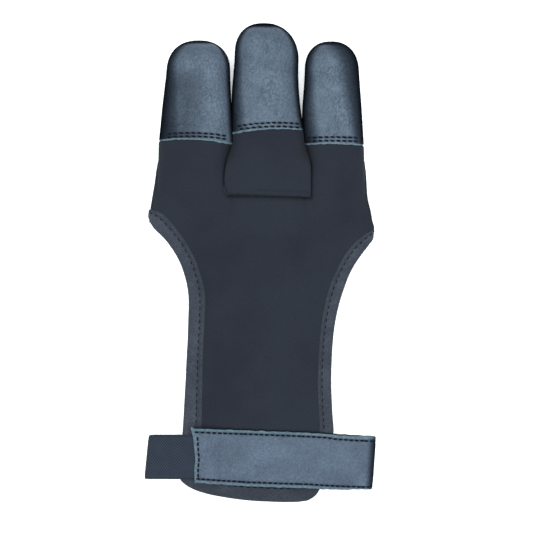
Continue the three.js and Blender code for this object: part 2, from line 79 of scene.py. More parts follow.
# One row for each place along the hand, from the wrist to the roots of the fingers
HAND_Y = [
    -112.2, -100.7, -96.1, -89.2, -76.9, -61.5, -36.9, -12.4, 1.5, 7.6, 13.7, 21.4, 29.1, 35.3, 41.4, 46,
]
HAND_COLUMNS = {
    "half": [50, 50, 50, 50, 50, 50, 50, 49.9, 49.8, 49.9, 50.4, 50.0, 48.6, 47.8, 47.2, 46.5],
    "centre": [0, 0, 0, 0, 0, 0, 0, 0, 0, 0, 0, -0.1, -0.4, -0.1, 0.1, 0.2],
    "crown": [7.6, 9.1, 10.1, 11, 11, 10.3, 10, 10.5, 11.3, 11.7, 12.2, 12.6, 13.1, 13.6, 14, 14.2],
    "droop": [1.2, 1.2, 1.2, 1.2, 1.3, 2.2, 3, 2.1, 0.6, 0, 0, 0, 0, 0, 0, 0],
    "lift": [1.35, 1.35, 1.35, 1.35, 1.35, 1.35, 1.35, 1.35, 1.35, 1.35, 1.35, 1.3, 1.1, 0.5, 0.1, 0],
    "parted": [0, 0, 0, 0, 0, 0, 0, 0, 0, 0, 0, 0.05, 0.18, 0.45, 0.8, 1],
}

# The three fingers: place and half width at the root, where the leather's mouth and the tip are,
# the leather's outline from mouth to dome, the dip of its mouth line from left to right, and how
# far in from each side painted shade darkens the leather as it rolls under, at the mouth and at the dome.
# end_roll says between which distances from the tip the painted dark rim ends.
# dim is how much darker the lower part of its left half is painted, as painted shade.
FINGERS = {
    "index": dict(root=-29.9, root_half=16.3, mouth_y=54.3, tip_y=100.1, dome_length=14.0,
                  at=[54, 61, 69.4, 77.5, 86, 100], centre=[-29.15, -28.95, -28.75, -28.5, -28.15, -27.9],
                  half=[16.85, 16.3, 15.7, 15.0, 14.4, 14.2], line=[0.4, 0.9, 0.4, -1.2],
                  left_roll=[9.5, 4.7], right_roll=[1.7, 2.0], end_roll=[0.8, 2.4], dim=0.42),
    "middle": dict(root=3.3, root_half=16.1, mouth_y=58.9, tip_y=107.9, dome_length=16.0,
                   at=[58.9, 69.4, 77.5, 86, 93, 100, 108], centre=[3.1, 2.35, 2.1, 2.3, 2.6, 2.1, 1.3],
                   half=[16.5, 15.6, 15.1, 14.6, 14.4, 14.4, 14.4], line=[-1.2, 0.4, 1.0, 0.6],
                   left_roll=[7.5, 3.1], right_roll=[2.1, 2.8], end_roll=[1.4, 2.9], dim=0.0),
    "ring": dict(root=33.45, root_half=13.2, mouth_y=52.7, tip_y=99.65, dome_length=13.0,
                 at=[52.7, 66.7, 72.1, 77.5, 86, 99], centre=[33.0, 32.1, 32.05, 32.05, 32.0, 31.65],
                 half=[13.45, 13.5, 13.2, 12.8, 12.25, 11.95], line=[0.2, 0.5, 0.3, -0.1],
                 left_roll=[8.5, 3.8], right_roll=[4.8, 12.0], end_roll=[0.6, 2.4], dim=0.0),
}


def through(at, places, values):
    """A smooth line through a table's values, read at other places."""
    at, places, values = (np.asarray(a, float) for a in (at, places, values))
    slopes = np.gradient(values, places)
    i = np.clip(np.searchsorted(places, at) - 1, 0, len(places) - 2)
    span = places[i + 1] - places[i]
    t = np.clip((at - places[i]) / span, 0, 1)
    start = (2 * t**3 - 3 * t**2 + 1) * values[i] + (t**3 - 2 * t**2 + t) * span * slopes[i]
    return start + (3 * t**2 - 2 * t**3) * values[i + 1] + (t**3 - t**2) * span * slopes[i + 1]


def step(low, high, x):
    """0 below low, 1 above high, and smooth between them."""
    t = np.clip((np.asarray(x, float) - low) / (high - low), 0, 1)
    return t * t * (3 - 2 * t)


def rounded(share, power=ROUND):
    """Height of a rounded section, 1 in its middle, at a share of its half width."""
    return (1 - np.minimum(np.abs(share), 1) ** power) ** (1 / power)


def hand(name, y):
    """A size of the hand at a place along it."""
    return through(y, HAND_Y, HAND_COLUMNS[name])


def sag(x, y):
    """How far the free back hangs down beside its middle."""
    return hand("droop", y) * (x / WAIST) ** 2


def palm_height(x, y):
    """Outer surface of the palm band, which parts into the three fingers' undersides."""
    lift = np.clip(hand("lift", y), 0, SEAM)
    belly = rounded((x - hand("centre", y)) / hand("half", y))
    fingers = np.maximum.reduce([rounded((x - f["root"]) / f["root_half"]) for f in FINGERS.values()])
    belly = belly + (fingers - belly) * np.clip(hand("parted", y), 0, 1)
    return np.maximum(lift, SEAM - (SEAM - lift) * BELLY * belly) - sag(x, y)


# Columns run across the hand and on into the fingers; each finger has its own, closer at its sides
TURNS = np.sin(np.linspace(-math.pi / 2, math.pi / 2, FINGER_COLUMNS))
CROTCH_X = np.concatenate([f["root"] + f["root_half"] * TURNS for f in FINGERS.values()])
CROTCH_SHARE = (CROTCH_X - CROTCH_X[0]) / (CROTCH_X[-1] - CROTCH_X[0])


def mouth_at(f, x):
    """Where the leather's raw mouth lies at a place across the finger."""
    places = f["centre"][0] + np.linspace(-f["half"][0], f["half"][0], len(f["line"]))
    return f["mouth_y"] + through(x, places, f["line"])


def sleeve_columns(y):
    """Places across the three finger sleeves at a distance from the wrist, and how far they have
    narrowed where the leather covers them."""
    places, covered = [], []
    for f in FINGERS.values():
        to_mouth = np.clip((y - CROTCH) / (f["mouth_y"] - CROTCH), 0, 1)
        half = f["root_half"] + (f["half"][0] - f["root_half"]) * to_mouth
        x = f["root"] + (f["centre"][0] - f["root"]) * to_mouth + half * TURNS
        tucked = IN_LEATHER * step(*TUCK, y - mouth_at(f, x))
        places.append(x - tucked * TURNS)
        covered.append(tucked)
    return np.concatenate(places), np.concatenate(covered)


def sleeve_grid(rows, upper):
    """Points of the three finger sleeves, their upper halves or their undersides."""
    turn = np.tile(TURNS, len(FINGERS))
    points = []
    for y in rows:
        x, covered = sleeve_columns(y)
        if upper:
            z = SEAM + (ROOT_HEIGHT + SWELL * step(CROTCH, SWELL_END, y) - SEAM - covered) * rounded(turn)
        else:
            z = np.maximum(covered, SEAM - (SEAM - covered) * BELLY * rounded(turn))
        points.append(np.stack([x, np.full_like(turn, y), z], -1))
    return np.array(points)


def sleeve_cells(rows, columns, fingers):
    """Which cells of a sleeve grid belong to a finger, between its own columns and up to its own end."""
    cells = np.zeros((len(rows) - 1, columns - 1), bool)
    count = len(TURNS)
    for i, (name, f) in enumerate(FINGERS.items()):
        if name in fingers:
            inside = np.asarray(rows[1:]) <= f["mouth_y"] + SLEEVE_END
            cells[inside, i * count:(i + 1) * count - 1] = True
    return cells


def normals_of(points):
    """Directions out of a grid of points."""
    normal = np.cross(np.gradient(points, axis=1), np.gradient(points, axis=0))
    return normal / np.maximum(np.linalg.norm(normal, axis=2, keepdims=True), SMALLEST)


def wall(name, outer, inner, material, cells=None, ring=False, pole=False, marks=None):
    """A closed wall between an outer and an inner grid of points, as one object.
    ring joins the last column to the first, and pole draws the last row to a point.
    marks are numbers kept at the outer grid's points for the material to read."""
    rows, columns = outer.shape[:2]
    index = np.arange(rows * columns).reshape(rows, columns)
    if ring:
        index[:, -1] = index[:, 0]
    if pole:
        index[-1, :] = index[-1, 0]
    quads = np.stack([index[:-1, :-1], index[:-1, 1:], index[1:, 1:], index[1:, :-1]], -1)
    quads = quads.reshape(-1, 4) if cells is None else quads[cells]
    count = rows * columns
    edges = {(a, b) for q in quads.tolist() for a, b in zip(q, q[1:] + q[:1]) if a != b}
    rim = [(b, a, a + count, b + count) for a, b in edges if (b, a) not in edges]
    faces = quads.tolist() + (quads[:, ::-1] + count).tolist() + sorted(rim)
    faces = [[v for k, v in enumerate(f) if v != f[k - 1]] for f in faces]
    used = np.unique([v for f in faces for v in f])
    place = np.zeros(2 * count, int)
    place[used] = np.arange(len(used))
    points = np.concatenate([outer.reshape(-1, 3), inner.reshape(-1, 3)])[used]
    mesh = bpy.data.meshes.new(name)
    mesh.from_pydata((points * MM).tolist(), [], [[int(place[v]) for v in f] for f in faces])
    for key, values in (marks or {}).items():
        kept = np.concatenate([values.reshape(-1), np.zeros(count)])[used]
        mesh.attributes.new(key, "FLOAT", "POINT").data.foreach_set("value", kept.astype(np.float32))
    return finished(name, mesh, material)


def finished(name, mesh, material):
    """Faces out, smooth shading with crisp rims, the material, and the body that it moves with."""
    shape = bmesh.new()
    shape.from_mesh(mesh)
    bmesh.ops.recalc_face_normals(shape, faces=shape.faces)
    shape.to_mesh(mesh)
    shape.free()
    mesh.shade_smooth()
    mesh.set_sharp_from_angle(angle=CRISP)
    mesh.materials.append(material)
    piece = bpy.data.objects.new(name, mesh)
    bpy.context.scene.collection.objects.link(piece)
    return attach(piece, "root")


def colour(code, strength=1.0):
    """An sRGB hex colour as linear light, dimmed to a strength."""
    parts = [int(code[i:i + 2], 16) / 255 for i in (1, 3, 5)]
    linear = [p / 12.92 if p <= 0.04045 else ((p + 0.055) / 1.055) ** 2.4 for p in parts]
    return (*[p * strength for p in linear], 1.0)


def empty_material(name):
    """A new material and its node tree, with nothing in it."""
    material = bpy.data.materials.new(name)
    material.use_nodes = True
    material.node_tree.nodes.clear()
    return material, material.node_tree


def node(tree, kind, inputs=None, output=0, **settings):
    """Adds a shader node with its settings and links, and gives back one of its outputs.
    An input is a number, a colour or another node's output."""
    made = tree.nodes.new("ShaderNode" + kind)
    for key, value in settings.items():
        setattr(made, key, value)
    for key, value in (inputs or {}).items():
        if isinstance(value, bpy.types.NodeSocket):
            tree.links.new(value, made.inputs[key])
        else:
            made.inputs[key].default_value = value
    return made.outputs[output] if len(made.outputs) else None


def pattern(tree, size, detail, stretch=(1, 1, 1), distortion=0.0, turn=0.0):
    """Random pattern whose cells have a real size in millimetres."""
    spread = node(tree, "Mapping", {
        "Vector": node(tree, "TexCoord", output="Object"),
        "Scale": [size * MM / s for s in stretch], "Rotation": (0, 0, turn),
    }, vector_type="TEXTURE")
    return node(tree, "TexNoise", {
        "Vector": spread, "Scale": 1.0, "Detail": detail, "Distortion": distortion,
    })


def layered(tree, tone, layers):
    """A tone with others laid over it in turn, each as strongly as its share says."""
    for share, over in layers:
        tone = node(tree, "Mix", {0: share, 6: tone, 7: over}, 2, data_type="RGBA")
    return tone


# Most values of a random pattern lie between these two
MIDDLE = {"From Min": 0.35, "From Max": 0.65}
# Sizes in the knit: its loop, the cloudiness of its dye and the height of its loops
KNIT_LOOP = 0.7
KNIT_CLOUD = 26
KNIT_RELIEF = 0.12


def knit_material():
    """Black stretch knit: its loops scatter the light, so it is dull, with slightly uneven dye and
    painted shade where the shade mark says. A real loop is about 0.4 mm, too fine to show, so it is drawn coarser."""
    material, tree = empty_material("stretch_knit")
    loops = pattern(tree, KNIT_LOOP, 1.0, stretch=(1.5, 1, 1))
    dye = pattern(tree, KNIT_CLOUD, 3.0)
    between = node(tree, "MapRange", {"Value": loops, "From Min": 0.3, "From Max": 0.7, "To Max": 0.35})
    shader = node(tree, "BsdfPrincipled", {
        "Base Color": layered(tree, colour("#1a1c24"), [
            (node(tree, "MapRange", {"Value": dye, **MIDDLE}), colour("#1e2128")),
            (between, colour("#101319")),
            # Painted shade where the shade mark says
            (node(tree, "Attribute", output="Fac", attribute_name="shade"), colour("#040508")),
        ]),
        "Roughness": 0.95, "Specular IOR Level": 0.12, "Sheen Weight": 0.02,
        "Normal": node(tree, "Bump", {"Height": loops, "Distance": KNIT_RELIEF * MM, "Strength": 0.5}),
    })
    node(tree, "OutputMaterial", {"Surface": shader})
    return material


knit = knit_material()


def palm_edge(x):
    """Where the palm band's open edge lies at a place across the hand."""
    return PALM_EDGE - PALM_FALL * x / HAND_WIDTH


palm_columns = hand("centre", CROTCH) + CROTCH_HALF * (2 * CROTCH_SHARE - 1)
palm_rows = np.linspace(0, 1, PALM_ROWS + 1)[:-1]
palm_grid = []
for t in palm_rows:
    y = (palm_edge(palm_columns) + PALM_INSET) * (1 - t) + CROTCH * t
    x = hand("centre", y) + hand("half", y) * (2 * CROTCH_SHARE - 1)
    palm_grid.append(np.stack([x, y, palm_height(x, y)], -1))
sleeve_rows = np.arange(CROTCH, SLEEVE_TOP, ROW_STEP)
palm_outer = np.concatenate([np.array(palm_grid), sleeve_grid(sleeve_rows, False)])
palm_cells = np.ones((len(palm_outer) - 1, len(CROTCH_X) - 1), bool)
palm_cells[len(palm_rows):] = sleeve_cells(sleeve_rows, len(CROTCH_X), ("index", "middle", "ring"))
palm_inner = palm_outer + normals_of(palm_outer) * FABRIC
palm_panel = wall("palm_fabric", palm_outer, palm_inner, knit, palm_cells)
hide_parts("palm_panel")

# Back fabric
# The same stretch knit over the back of the hand, tapering from the knuckles to the wrist.
# It runs on into the upper halves of the index and ring sleeves, under the leather's mouths,
# and is sewn to the palm side past the knuckles.
BACK_END = -98.5
BACK_STEP = 1.0
# The hills over the fingers are this much wider than the fingers
HILL_SPREAD = 0.2
# Outline of the middle finger's fabric where it lies on the back, along which a painted shadow darkens the fabric
# beside it
LAID_LINE = [(-12.9, 56), (-13.6, 52), (-15.2, 46), (-16.2, 39.5), (-16.2, 34.9), (-14.6, 30.0), (4, 29.6),
             (22.5, 29.0), (22.6, 36), (22.5, 44), (21.2, 49.5), (19.9, 55)]
LAID_SPOTS = 200
# Left and right edge of the fabric inside the tape, and of the hand above it
BACK_EDGES = [
    (-98.5, -35.0, 27.0), (-93.5, -36.0, 28.3), (-86.7, -35.4, 30.0), (-75.9, -34.5, 32.3),
    (-62, -33.7, 31.2), (-53, -33.2, 31.1), (-44, -32.8, 31.2), (-35, -32.3, 31.8), (-26, -32, 33), (-17, -31.7, 35.1),
    (-12.5, -32.2, 36.5), (-8, -33, 38.2), (-3.5, -34.3, 40.1), (1, -36.1, 42.8), (5.5, -38.5, 46),
    (9, -41, 48.4), (12.3, -43.8, 49.8), (15.5, -47.2, 51.1), (18.5, -49.4, 50.7), (21.4, -50.4, 49.6),
    (25.8, -49.5, 48.6), (29.1, -48.8, 48.1), (35.3, -47.8, 47.7), (41.4, -47.1, 47.3), (46, -46.3, 46.7),
]
# Past the knuckles the sides are sewn to the palm's fabric, so they end on the hand's outline
SEWN = (15.5, 20.5)
# A short tongue runs on under the middle finger's own fabric, and goes down to lie below it
TONGUE_END = 51.0
TONGUE_DROP = 0.9
TONGUE_RAMP = (45, 48)
# Low soft waves of worn fabric: long and short ones, calm at the sides and past the knuckles
WAVE = 0.3
SHORT_WAVE = 0.4
LONG_SIZE = 17
SHORT_SIZE = 7
LONG_STRETCH = [1, 0.6, 0]
FLAT = [1, 1, 0]
WAVES_END = (30, 44)
CALM_SIDES = 6
# How dark and how wide the painted shade is at the side seams, the painted shadow line beside the
# middle finger's fabric, and the wider painted shadow between the fingers
SIDE_SHADE = 0.7
SIDE_FADE = 0.7
LAID_SHADE = 0.75
LAID_FADE = 1.0
CROTCH_SHADE = 0.3
CROTCH_FADE = 3.5
CROTCH_FROM = (36, 50)
# Step between one random pattern and the next
SEED_STEP = np.array([7.3, 3.1, 1.7])


def back_height(x, y):
    """Outer surface of the back, which parts into three hills towards the fingers."""
    arch = (hand("crown", y) - SEAM) * rounded((x - hand("centre", y)) / hand("half", y))
    hills = [
        (ROOT_HEIGHT - SEAM) * rounded((x - f["root"]) / (f["root_half"] + HILL_SPREAD))
        for f in FINGERS.values()
    ]
    parted = np.clip(hand("parted", y), 0, 1)
    return SEAM + arch + (np.maximum.reduce(hills) - arch) * parted - sag(x, y)


def rumple(points, size, seed):
    """Smooth random values between -1 and 1 at the points, for lumps of the given size."""
    flat = points.reshape(-1, 3) / size + seed * SEED_STEP
    return np.array([noise.noise(Vector(p)) for p in flat]).reshape(points.shape[:-1])


def ridge(distance, width):
    """1 on a line and falling to nothing beside it."""
    return np.exp(-((distance / width) ** 2))


edge_y, edge_left, edge_right = (np.array(column) for column in zip(*BACK_EDGES))
back_rows = np.arange(BACK_END, CROTCH - ROW_STEP, BACK_STEP)
back_grid = []
for y in back_rows:
    sewn = step(*SEWN, y)
    left = (1 - sewn) * through(y, edge_y, edge_left) + sewn * (hand("centre", y) - hand("half", y))
    right = (1 - sewn) * through(y, edge_y, edge_right) + sewn * (hand("centre", y) + hand("half", y))
    x = left + (right - left) * CROTCH_SHARE
    back_grid.append(np.stack([x, np.full_like(x, y), back_height(x, y)], -1))
back_outer = np.concatenate([np.array(back_grid), sleeve_grid(sleeve_rows, True)])
back_cells = np.ones((len(back_outer) - 1, len(CROTCH_X) - 1), bool)
back_cells[len(back_rows):] = sleeve_cells(sleeve_rows, len(CROTCH_X), ("index", "ring"))
middle_columns = slice(len(TURNS), 2 * len(TURNS))
middle_cells = slice(len(TURNS), 2 * len(TURNS) - 1)
back_cells[len(back_rows):, middle_cells] |= (sleeve_rows[1:] <= TONGUE_END)[:, None]
lowered = TONGUE_DROP * step(*TONGUE_RAMP, back_outer[:, middle_columns, 1])
back_outer[:, middle_columns, 2] = np.maximum(back_outer[:, middle_columns, 2] - lowered, SEAM)
calm = 1 - np.abs(2 * CROTCH_SHARE - 1) ** CALM_SIDES
waves = rumple(back_outer * LONG_STRETCH, LONG_SIZE, 1)
waves = waves + SHORT_WAVE * rumple(back_outer * FLAT, SHORT_SIZE, 2)
back_outer[..., 2] += WAVE * waves * calm * (1 - step(*WAVES_END, back_outer[..., 1]))
back_inner = back_outer - normals_of(back_outer) * FABRIC

across, along = back_outer[..., 0], back_outer[..., 1]
corner_at = np.arange(len(LAID_LINE))
laid_at = np.linspace(0, corner_at[-1], LAID_SPOTS)
laid_x, laid_y = (np.interp(laid_at, corner_at, column) for column in zip(*LAID_LINE))
from_laid = np.minimum.reduce([np.hypot(across - x, along - y) for x, y in zip(laid_x, laid_y)])
from_side = np.minimum(across - across[:, :1], across[:, -1:] - across)
# Painted shade for the knit: along the sides, beside the middle finger's fabric and between the fingers
beside = LAID_SHADE * ridge(from_laid, LAID_FADE)
beside = beside + CROTCH_SHADE * ridge(from_laid, CROTCH_FADE) * step(*CROTCH_FROM, along)
beside = np.maximum(beside, SIDE_SHADE * ridge(from_side, SIDE_FADE))
back_panel = wall("back_fabric", back_outer, back_inner, knit, back_cells, marks={"shade": beside})
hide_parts("back_panel")

# Middle finger fabric
# A separate piece of the knit that covers the back of the middle finger and lies on the hand.
# Its square base has a turned hem, and at its left corner the turned layer peeks out.
# Its edges are free, so it stands a little above the back and throws a soft shadow, which is also painted on the back
# fabric beside it.
PATCH_LEFT = [(29.0, -14.4), (30.6, -14.6), (34.9, -16.1), (39.4, -16.3), (45.1, -15.4), (49.6, -14.3),
              (53.8, -13.1), (58, -13.0), (69, -12.2)]
PATCH_RIGHT = [(28.5, 22.4), (36, 22.5), (44.3, 22.3), (49.5, 21.2), (53.3, 20.2), (59.5, 19.5), (69, 17.8)]
PATCH_LIFT = 1.9
PATCH_THICKNESS = 1.5
LEAST_THICKNESS = 0.2
# The base's lower edge slopes a little down to the right, and the rows above it straighten out
PATCH_BASE = 29.4
BASE_SLOPE = 0.7
SLOPE_END = 16
# Rows are close together in the hem and wider up to the piece's end
HEM_REACH = 5
HEM_ROWS = 26
PATCH_STEP = 0.7
PATCH_LENGTH = 38.1
PATCH_COLUMNS = 61
# Its sides rest on the back up to SIDES_ON_BACK, then come down to the seam, and its crest sinks
# towards the leather while its square section turns round
SIDES_ON_BACK = 44
SIDES_DOWN = (43.5, 52)
CREST_DROP = 0.9
CREST_RAMP = (48, 60)
BASE_ROUND = 4
TURNS_ROUND = (40, 50)
# The hem's sewn line: a place on it, its slope, its width and depth, and where it starts
HEM_X = -2.4
HEM_Y = 32.7
HEM_SLOPE = -0.052
HEM_WIDTH = 0.38
HEM_DEPTH = 0.42
HEM_START = (-6, -1)
EDGE_DROP = 0.7
EDGE_REACH = 1.1
PATCH_WAVE = 0.25
PATCH_WAVE_SIZE = 9
PATCH_CALM_SIDES = 4

patch_shares = np.sin(np.linspace(-math.pi / 2, math.pi / 2, PATCH_COLUMNS))
patch_rows = np.concatenate([
    np.linspace(0, HEM_REACH, HEM_ROWS), np.arange(HEM_REACH + ROW_STEP, PATCH_LENGTH, PATCH_STEP),
])
base_edge = PATCH_BASE + BASE_SLOPE * (1 - patch_shares)
left_y, left_x = (np.array(column) for column in zip(*PATCH_LEFT))
right_y, right_x = (np.array(column) for column in zip(*PATCH_RIGHT))
patch = []
for along in patch_rows:
    y = PATCH_BASE + along + BASE_SLOPE * (1 - patch_shares) * (1 - step(0, SLOPE_END, along))
    left = through(y, left_y, left_x)
    right = through(y, right_y, right_x)
    middle, half = (left + right) / 2, (right - left) / 2
    low = np.minimum(y, SIDES_ON_BACK)
    on_hand = back_height(left, low) * (1 - patch_shares) / 2
    on_hand = on_hand + back_height(right, low) * (1 + patch_shares) / 2
    down = step(*SIDES_DOWN, y)
    foot = (on_hand + PATCH_LIFT) * (1 - down) + SEAM * down
    crest = back_height(middle, np.minimum(y, CROTCH)) + PATCH_LIFT - CREST_DROP * step(*CREST_RAMP, y)
    power = BASE_ROUND + (ROUND - BASE_ROUND) * step(*TURNS_ROUND, y)
    tucked = IN_LEATHER * step(*TUCK, y - mouth_at(FINGERS["middle"], middle + half * patch_shares))
    z = foot + (crest - tucked - foot) * rounded(patch_shares, power)
    patch.append(np.stack([middle + (half - tucked) * patch_shares, y, z], -1))
patch_outer = np.array(patch)
across, along, height = (patch_outer[..., k] for k in range(3))
hem_line = ridge(along - HEM_Y - HEM_SLOPE * (across - HEM_X), HEM_WIDTH) * step(*HEM_START, across)
height -= HEM_DEPTH * hem_line
height -= EDGE_DROP * (1 - step(0, EDGE_REACH, along - base_edge)) ** 2
calm = 1 - np.abs(patch_shares) ** PATCH_CALM_SIDES
height += PATCH_WAVE * rumple(patch_outer * FLAT, PATCH_WAVE_SIZE, 5) * calm
patch_inner = patch_outer - normals_of(patch_outer) * PATCH_THICKNESS
lowest = np.minimum(height - LEAST_THICKNESS, SEAM + LEAST_THICKNESS)
patch_inner[..., 2] = np.maximum(patch_inner[..., 2], lowest)
middle_panel = wall("middle_finger_fabric", patch_outer, patch_inner, knit)
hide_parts("middle_finger_panel")

# The turned layer that shows at the base's left corner
TAB = [(30.2, -15.2), (31.6, -16.7), (33.5, -16.9), (35.4, -16.5)]
TAB_LOW = 30.3
TAB_HIGH = 35.3
TAB_RIGHT = -11.0
TAB_ROWS = 14
TAB_COLUMNS = 12
TAB_LIFT = 1.0
TAB_THICKNESS = 0.9
TAB_LIP = 0.5
tab_y, tab_x = (np.array(column) for column in zip(*TAB))
tab = []
for y in np.linspace(TAB_LOW, TAB_HIGH, TAB_ROWS):
    x = np.linspace(through(y, tab_y, tab_x), TAB_RIGHT, TAB_COLUMNS)
    lip = TAB_LIP * (1 - step(0, TAB_LIP, x - x[0]))
    tab.append(np.stack([x, np.full_like(x, y), back_height(x, y) + TAB_LIFT - lip], -1))
tab_outer = np.array(tab)
turned_hem = wall("middle_finger_turned_hem", tab_outer, tab_outer - [0, 0, TAB_THICKNESS], knit)

# Leather fingertips
# Three thick, soft leather caps, sewn and turned so that they look stuffed, one for each finger.
# Each is cut raw at its mouth, which shows the pale inside of the hide, and held by two rows of
# dark thread. The grain is fine, with creases where the finger bends it.
TIP_WALL = 1.4
TIP_HEIGHT = 16.8
MOUTH_HEIGHT = 15.8
TIP_ROUND = 3.0
DOME_ROUND = 2.3
TOP_ROUND = 2.9
# Rows along a fingertip, as shares of its length: three over the cut lip, with how far in each
# lies and how much of the raw cut it shows, then those of the barrel and those of the dome
LIP_SHARES = [0.0, 0.008, 0.018]
LIP_INSETS = [0.95, 0.3, 0.06]
LIP_RAW = [1.0, 0.9, 0.0]
BARREL = (0.03, 0.75)
BARREL_ROWS = 72
DOME_ROWS = 33
TIP_COLUMNS = 169
# The mouth is cut by hand, so its line wanders
MOUTH_WANDER = 0.32
WANDER_ACROSS = 0.45
WANDER_FINGER = 9.0
WANDER_ROUND = 3
# Creases and soft dents, which fade out near the mouth and the tip
CREASE = 0.16
CREASE_SIZE = 5.0
CREASE_STRETCH = [1.0, 0.45, 1.0]
CREASE_SHARP = 0.6
CREASE_LEVEL = 0.5
DENT = 0.25
DENT_SIZE = 13
DENTS_AWAY = 4
# Two rows of stitches on each fingertip: ends of each row across the finger, and its distance
# from the raw mouth at both ends
TIP_STITCHES = {
    "index": [(-41.2, -16.4, 2.8, 3.3), (-41.2, -16.4, 1.3, 1.85)],
    "middle": [(-9.7, 16.4, 3.1, 2.75), (-8.7, 16.4, 1.5, 1.1)],
    "ring": [(21.5, 42.8, 3.0, 3.3), (21.5, 42.8, 1.4, 1.7)],
}
TIP_PITCH = 2.58
TIP_STITCH_DOWN = 0.4
TIP_STITCH_SLANT = (0.985, 0.17)
TIP_STITCH = (2.6, 0.95)
# The thread pulls the leather into a shallow groove, painted dark as shade, which fades out past the row's ends
GROOVE_DEPTH = 0.16
GROOVE_WIDTH = 0.45
GROOVE_SHADE = 0.5
GROOVE_FADE = 0.06
# The painted shade of the rolled sides starts a little in, and is steepest at the very edge; the underside is painted
# dark as shade too
ROLL_EDGE = 0.4
ROLL_EVEN = 0.8
ROLL_POWER = 2.6
UNDERSIDE_SHADE = 0.5
# The half painted darker as shade ends across the finger at these shares of its half width, and along it here
DIM_ACROSS = (-0.3, 0.6)
DIM_END = (80, 91)
# A stitch: how finely it is made, its thickness at the ends, how proud its middle and how deep its
# ends lie and how flat it is pressed, as shares of its width
STITCH_SIDES = 8
STITCH_RINGS = 7
STITCH_END = 0.02
STITCH_PROUD = 0.28
STITCH_DIP = 0.55
STITCH_FLAT = 0.8
# Sizes in the leather: its pebbled grain, cloudiness, thin folds, where folds gather, and fibres
GRAIN = 0.85
CLOUD = 10
FOLDS = 1.7
GATHER = 8
FIBRES = 0.8
LEATHER_RELIEF = 0.3


def leather_material(name, face, rolled, edge, gloss, wrinkled):
    """Drum-dyed cowhide: a broad cool shine, fine pebbled grain and soft thin creases.
    Its face tone carries the broad sheen as painted light. Where the shade mark says, the rolled
    sides and grooves are painted dark as shade, and the raw cut edges are pale and fibrous.
    Real grain is about 0.5 mm, too fine to show, so it is drawn coarser."""
    material, tree = empty_material(name)
    grain = pattern(tree, GRAIN, 3.0, stretch=(1.0, 0.8, 1.0), distortion=0.5)
    cloudy = pattern(tree, CLOUD, 3.0)
    folds = pattern(tree, FOLDS, 2.0, stretch=(1.0, 0.5, 1.0), distortion=0.8, turn=-0.6)
    shade = node(tree, "Attribute", output="Fac", attribute_name="shade")
    raw = node(tree, "Attribute", output="Fac", attribute_name="raw")
    # A thin crease runs wherever the folds' pattern crosses its middle value; it is sunk in the bump and painted
    # darker as shade
    centred = node(tree, "Math", {0: folds, 1: 0.5}, operation="SUBTRACT")
    away = node(tree, "Math", {0: centred}, operation="ABSOLUTE")
    lines = node(tree, "MapRange", {"Value": away, "From Max": 0.07, "To Min": 1.0, "To Max": 0.0})
    gathered = node(tree, "MapRange", {
        "Value": pattern(tree, GATHER, 1.0), "From Min": 0.4, "From Max": 0.6,
        "To Min": 0.3 * wrinkled, "To Max": wrinkled,
    })
    crease_and_shade = node(tree, "Math", {0: lines, 1: gathered}, operation="MULTIPLY")
    pale = layered(tree, colour(edge), [
        (node(tree, "MapRange", {"Value": pattern(tree, FIBRES, 3.0), **MIDDLE}), colour(edge, 0.55)),
    ])
    # Painted light and shade: the face tone carries the broad sheen, and the creases and the shade mark lay painted
    # shade over it
    tone = layered(tree, colour(face), [
        (node(tree, "MapRange", {"Value": cloudy, **MIDDLE}), colour(face, 0.78)),
        (node(tree, "MapRange", {"Value": grain, **MIDDLE, "To Max": 0.6}), colour(face, 0.4)),
        (node(tree, "MapRange", {"Value": crease_and_shade, "To Max": 0.55}), colour(face, 0.4)),
        (shade, colour(rolled)),
        (raw, pale),
    ])
    dull = node(tree, "MapRange", {"Value": raw, "To Max": 0.4})
    wear_and_shade = node(tree, "MapRange", {
        "Value": cloudy, "From Min": 0.3, "From Max": 0.7, "To Min": 0.44, "To Max": 0.54,
    })
    shine = node(tree, "MapRange", {
        "Value": shade, "From Min": 0.15, "From Max": 0.6, "To Min": gloss, "To Max": 0.0,
    })
    sunk = node(tree, "Math", {0: crease_and_shade, 1: -0.6}, operation="MULTIPLY")
    relief = node(tree, "Math", {0: grain, 1: sunk}, operation="ADD")
    shader = node(tree, "BsdfPrincipled", {
        "Base Color": tone,
        "Roughness": node(tree, "Math", {0: dull, 1: wear_and_shade}, operation="ADD"),
        "Specular IOR Level": shine,
        "Specular Tint": colour("#dff3ff"),
        "Normal": node(tree, "Bump", {"Height": relief, "Distance": LEATHER_RELIEF * MM}),
    })
    node(tree, "OutputMaterial", {"Surface": shader})
    return material


def thread_material():
    """Waxed navy sewing thread: dark, with hardly any shine."""
    material, tree = empty_material("navy_thread")
    shader = node(tree, "BsdfPrincipled", {
        "Base Color": colour("#05080f"), "Roughness": 0.8, "Specular IOR Level": 0.1,
    })
    node(tree, "OutputMaterial", {"Surface": shader})
    return material


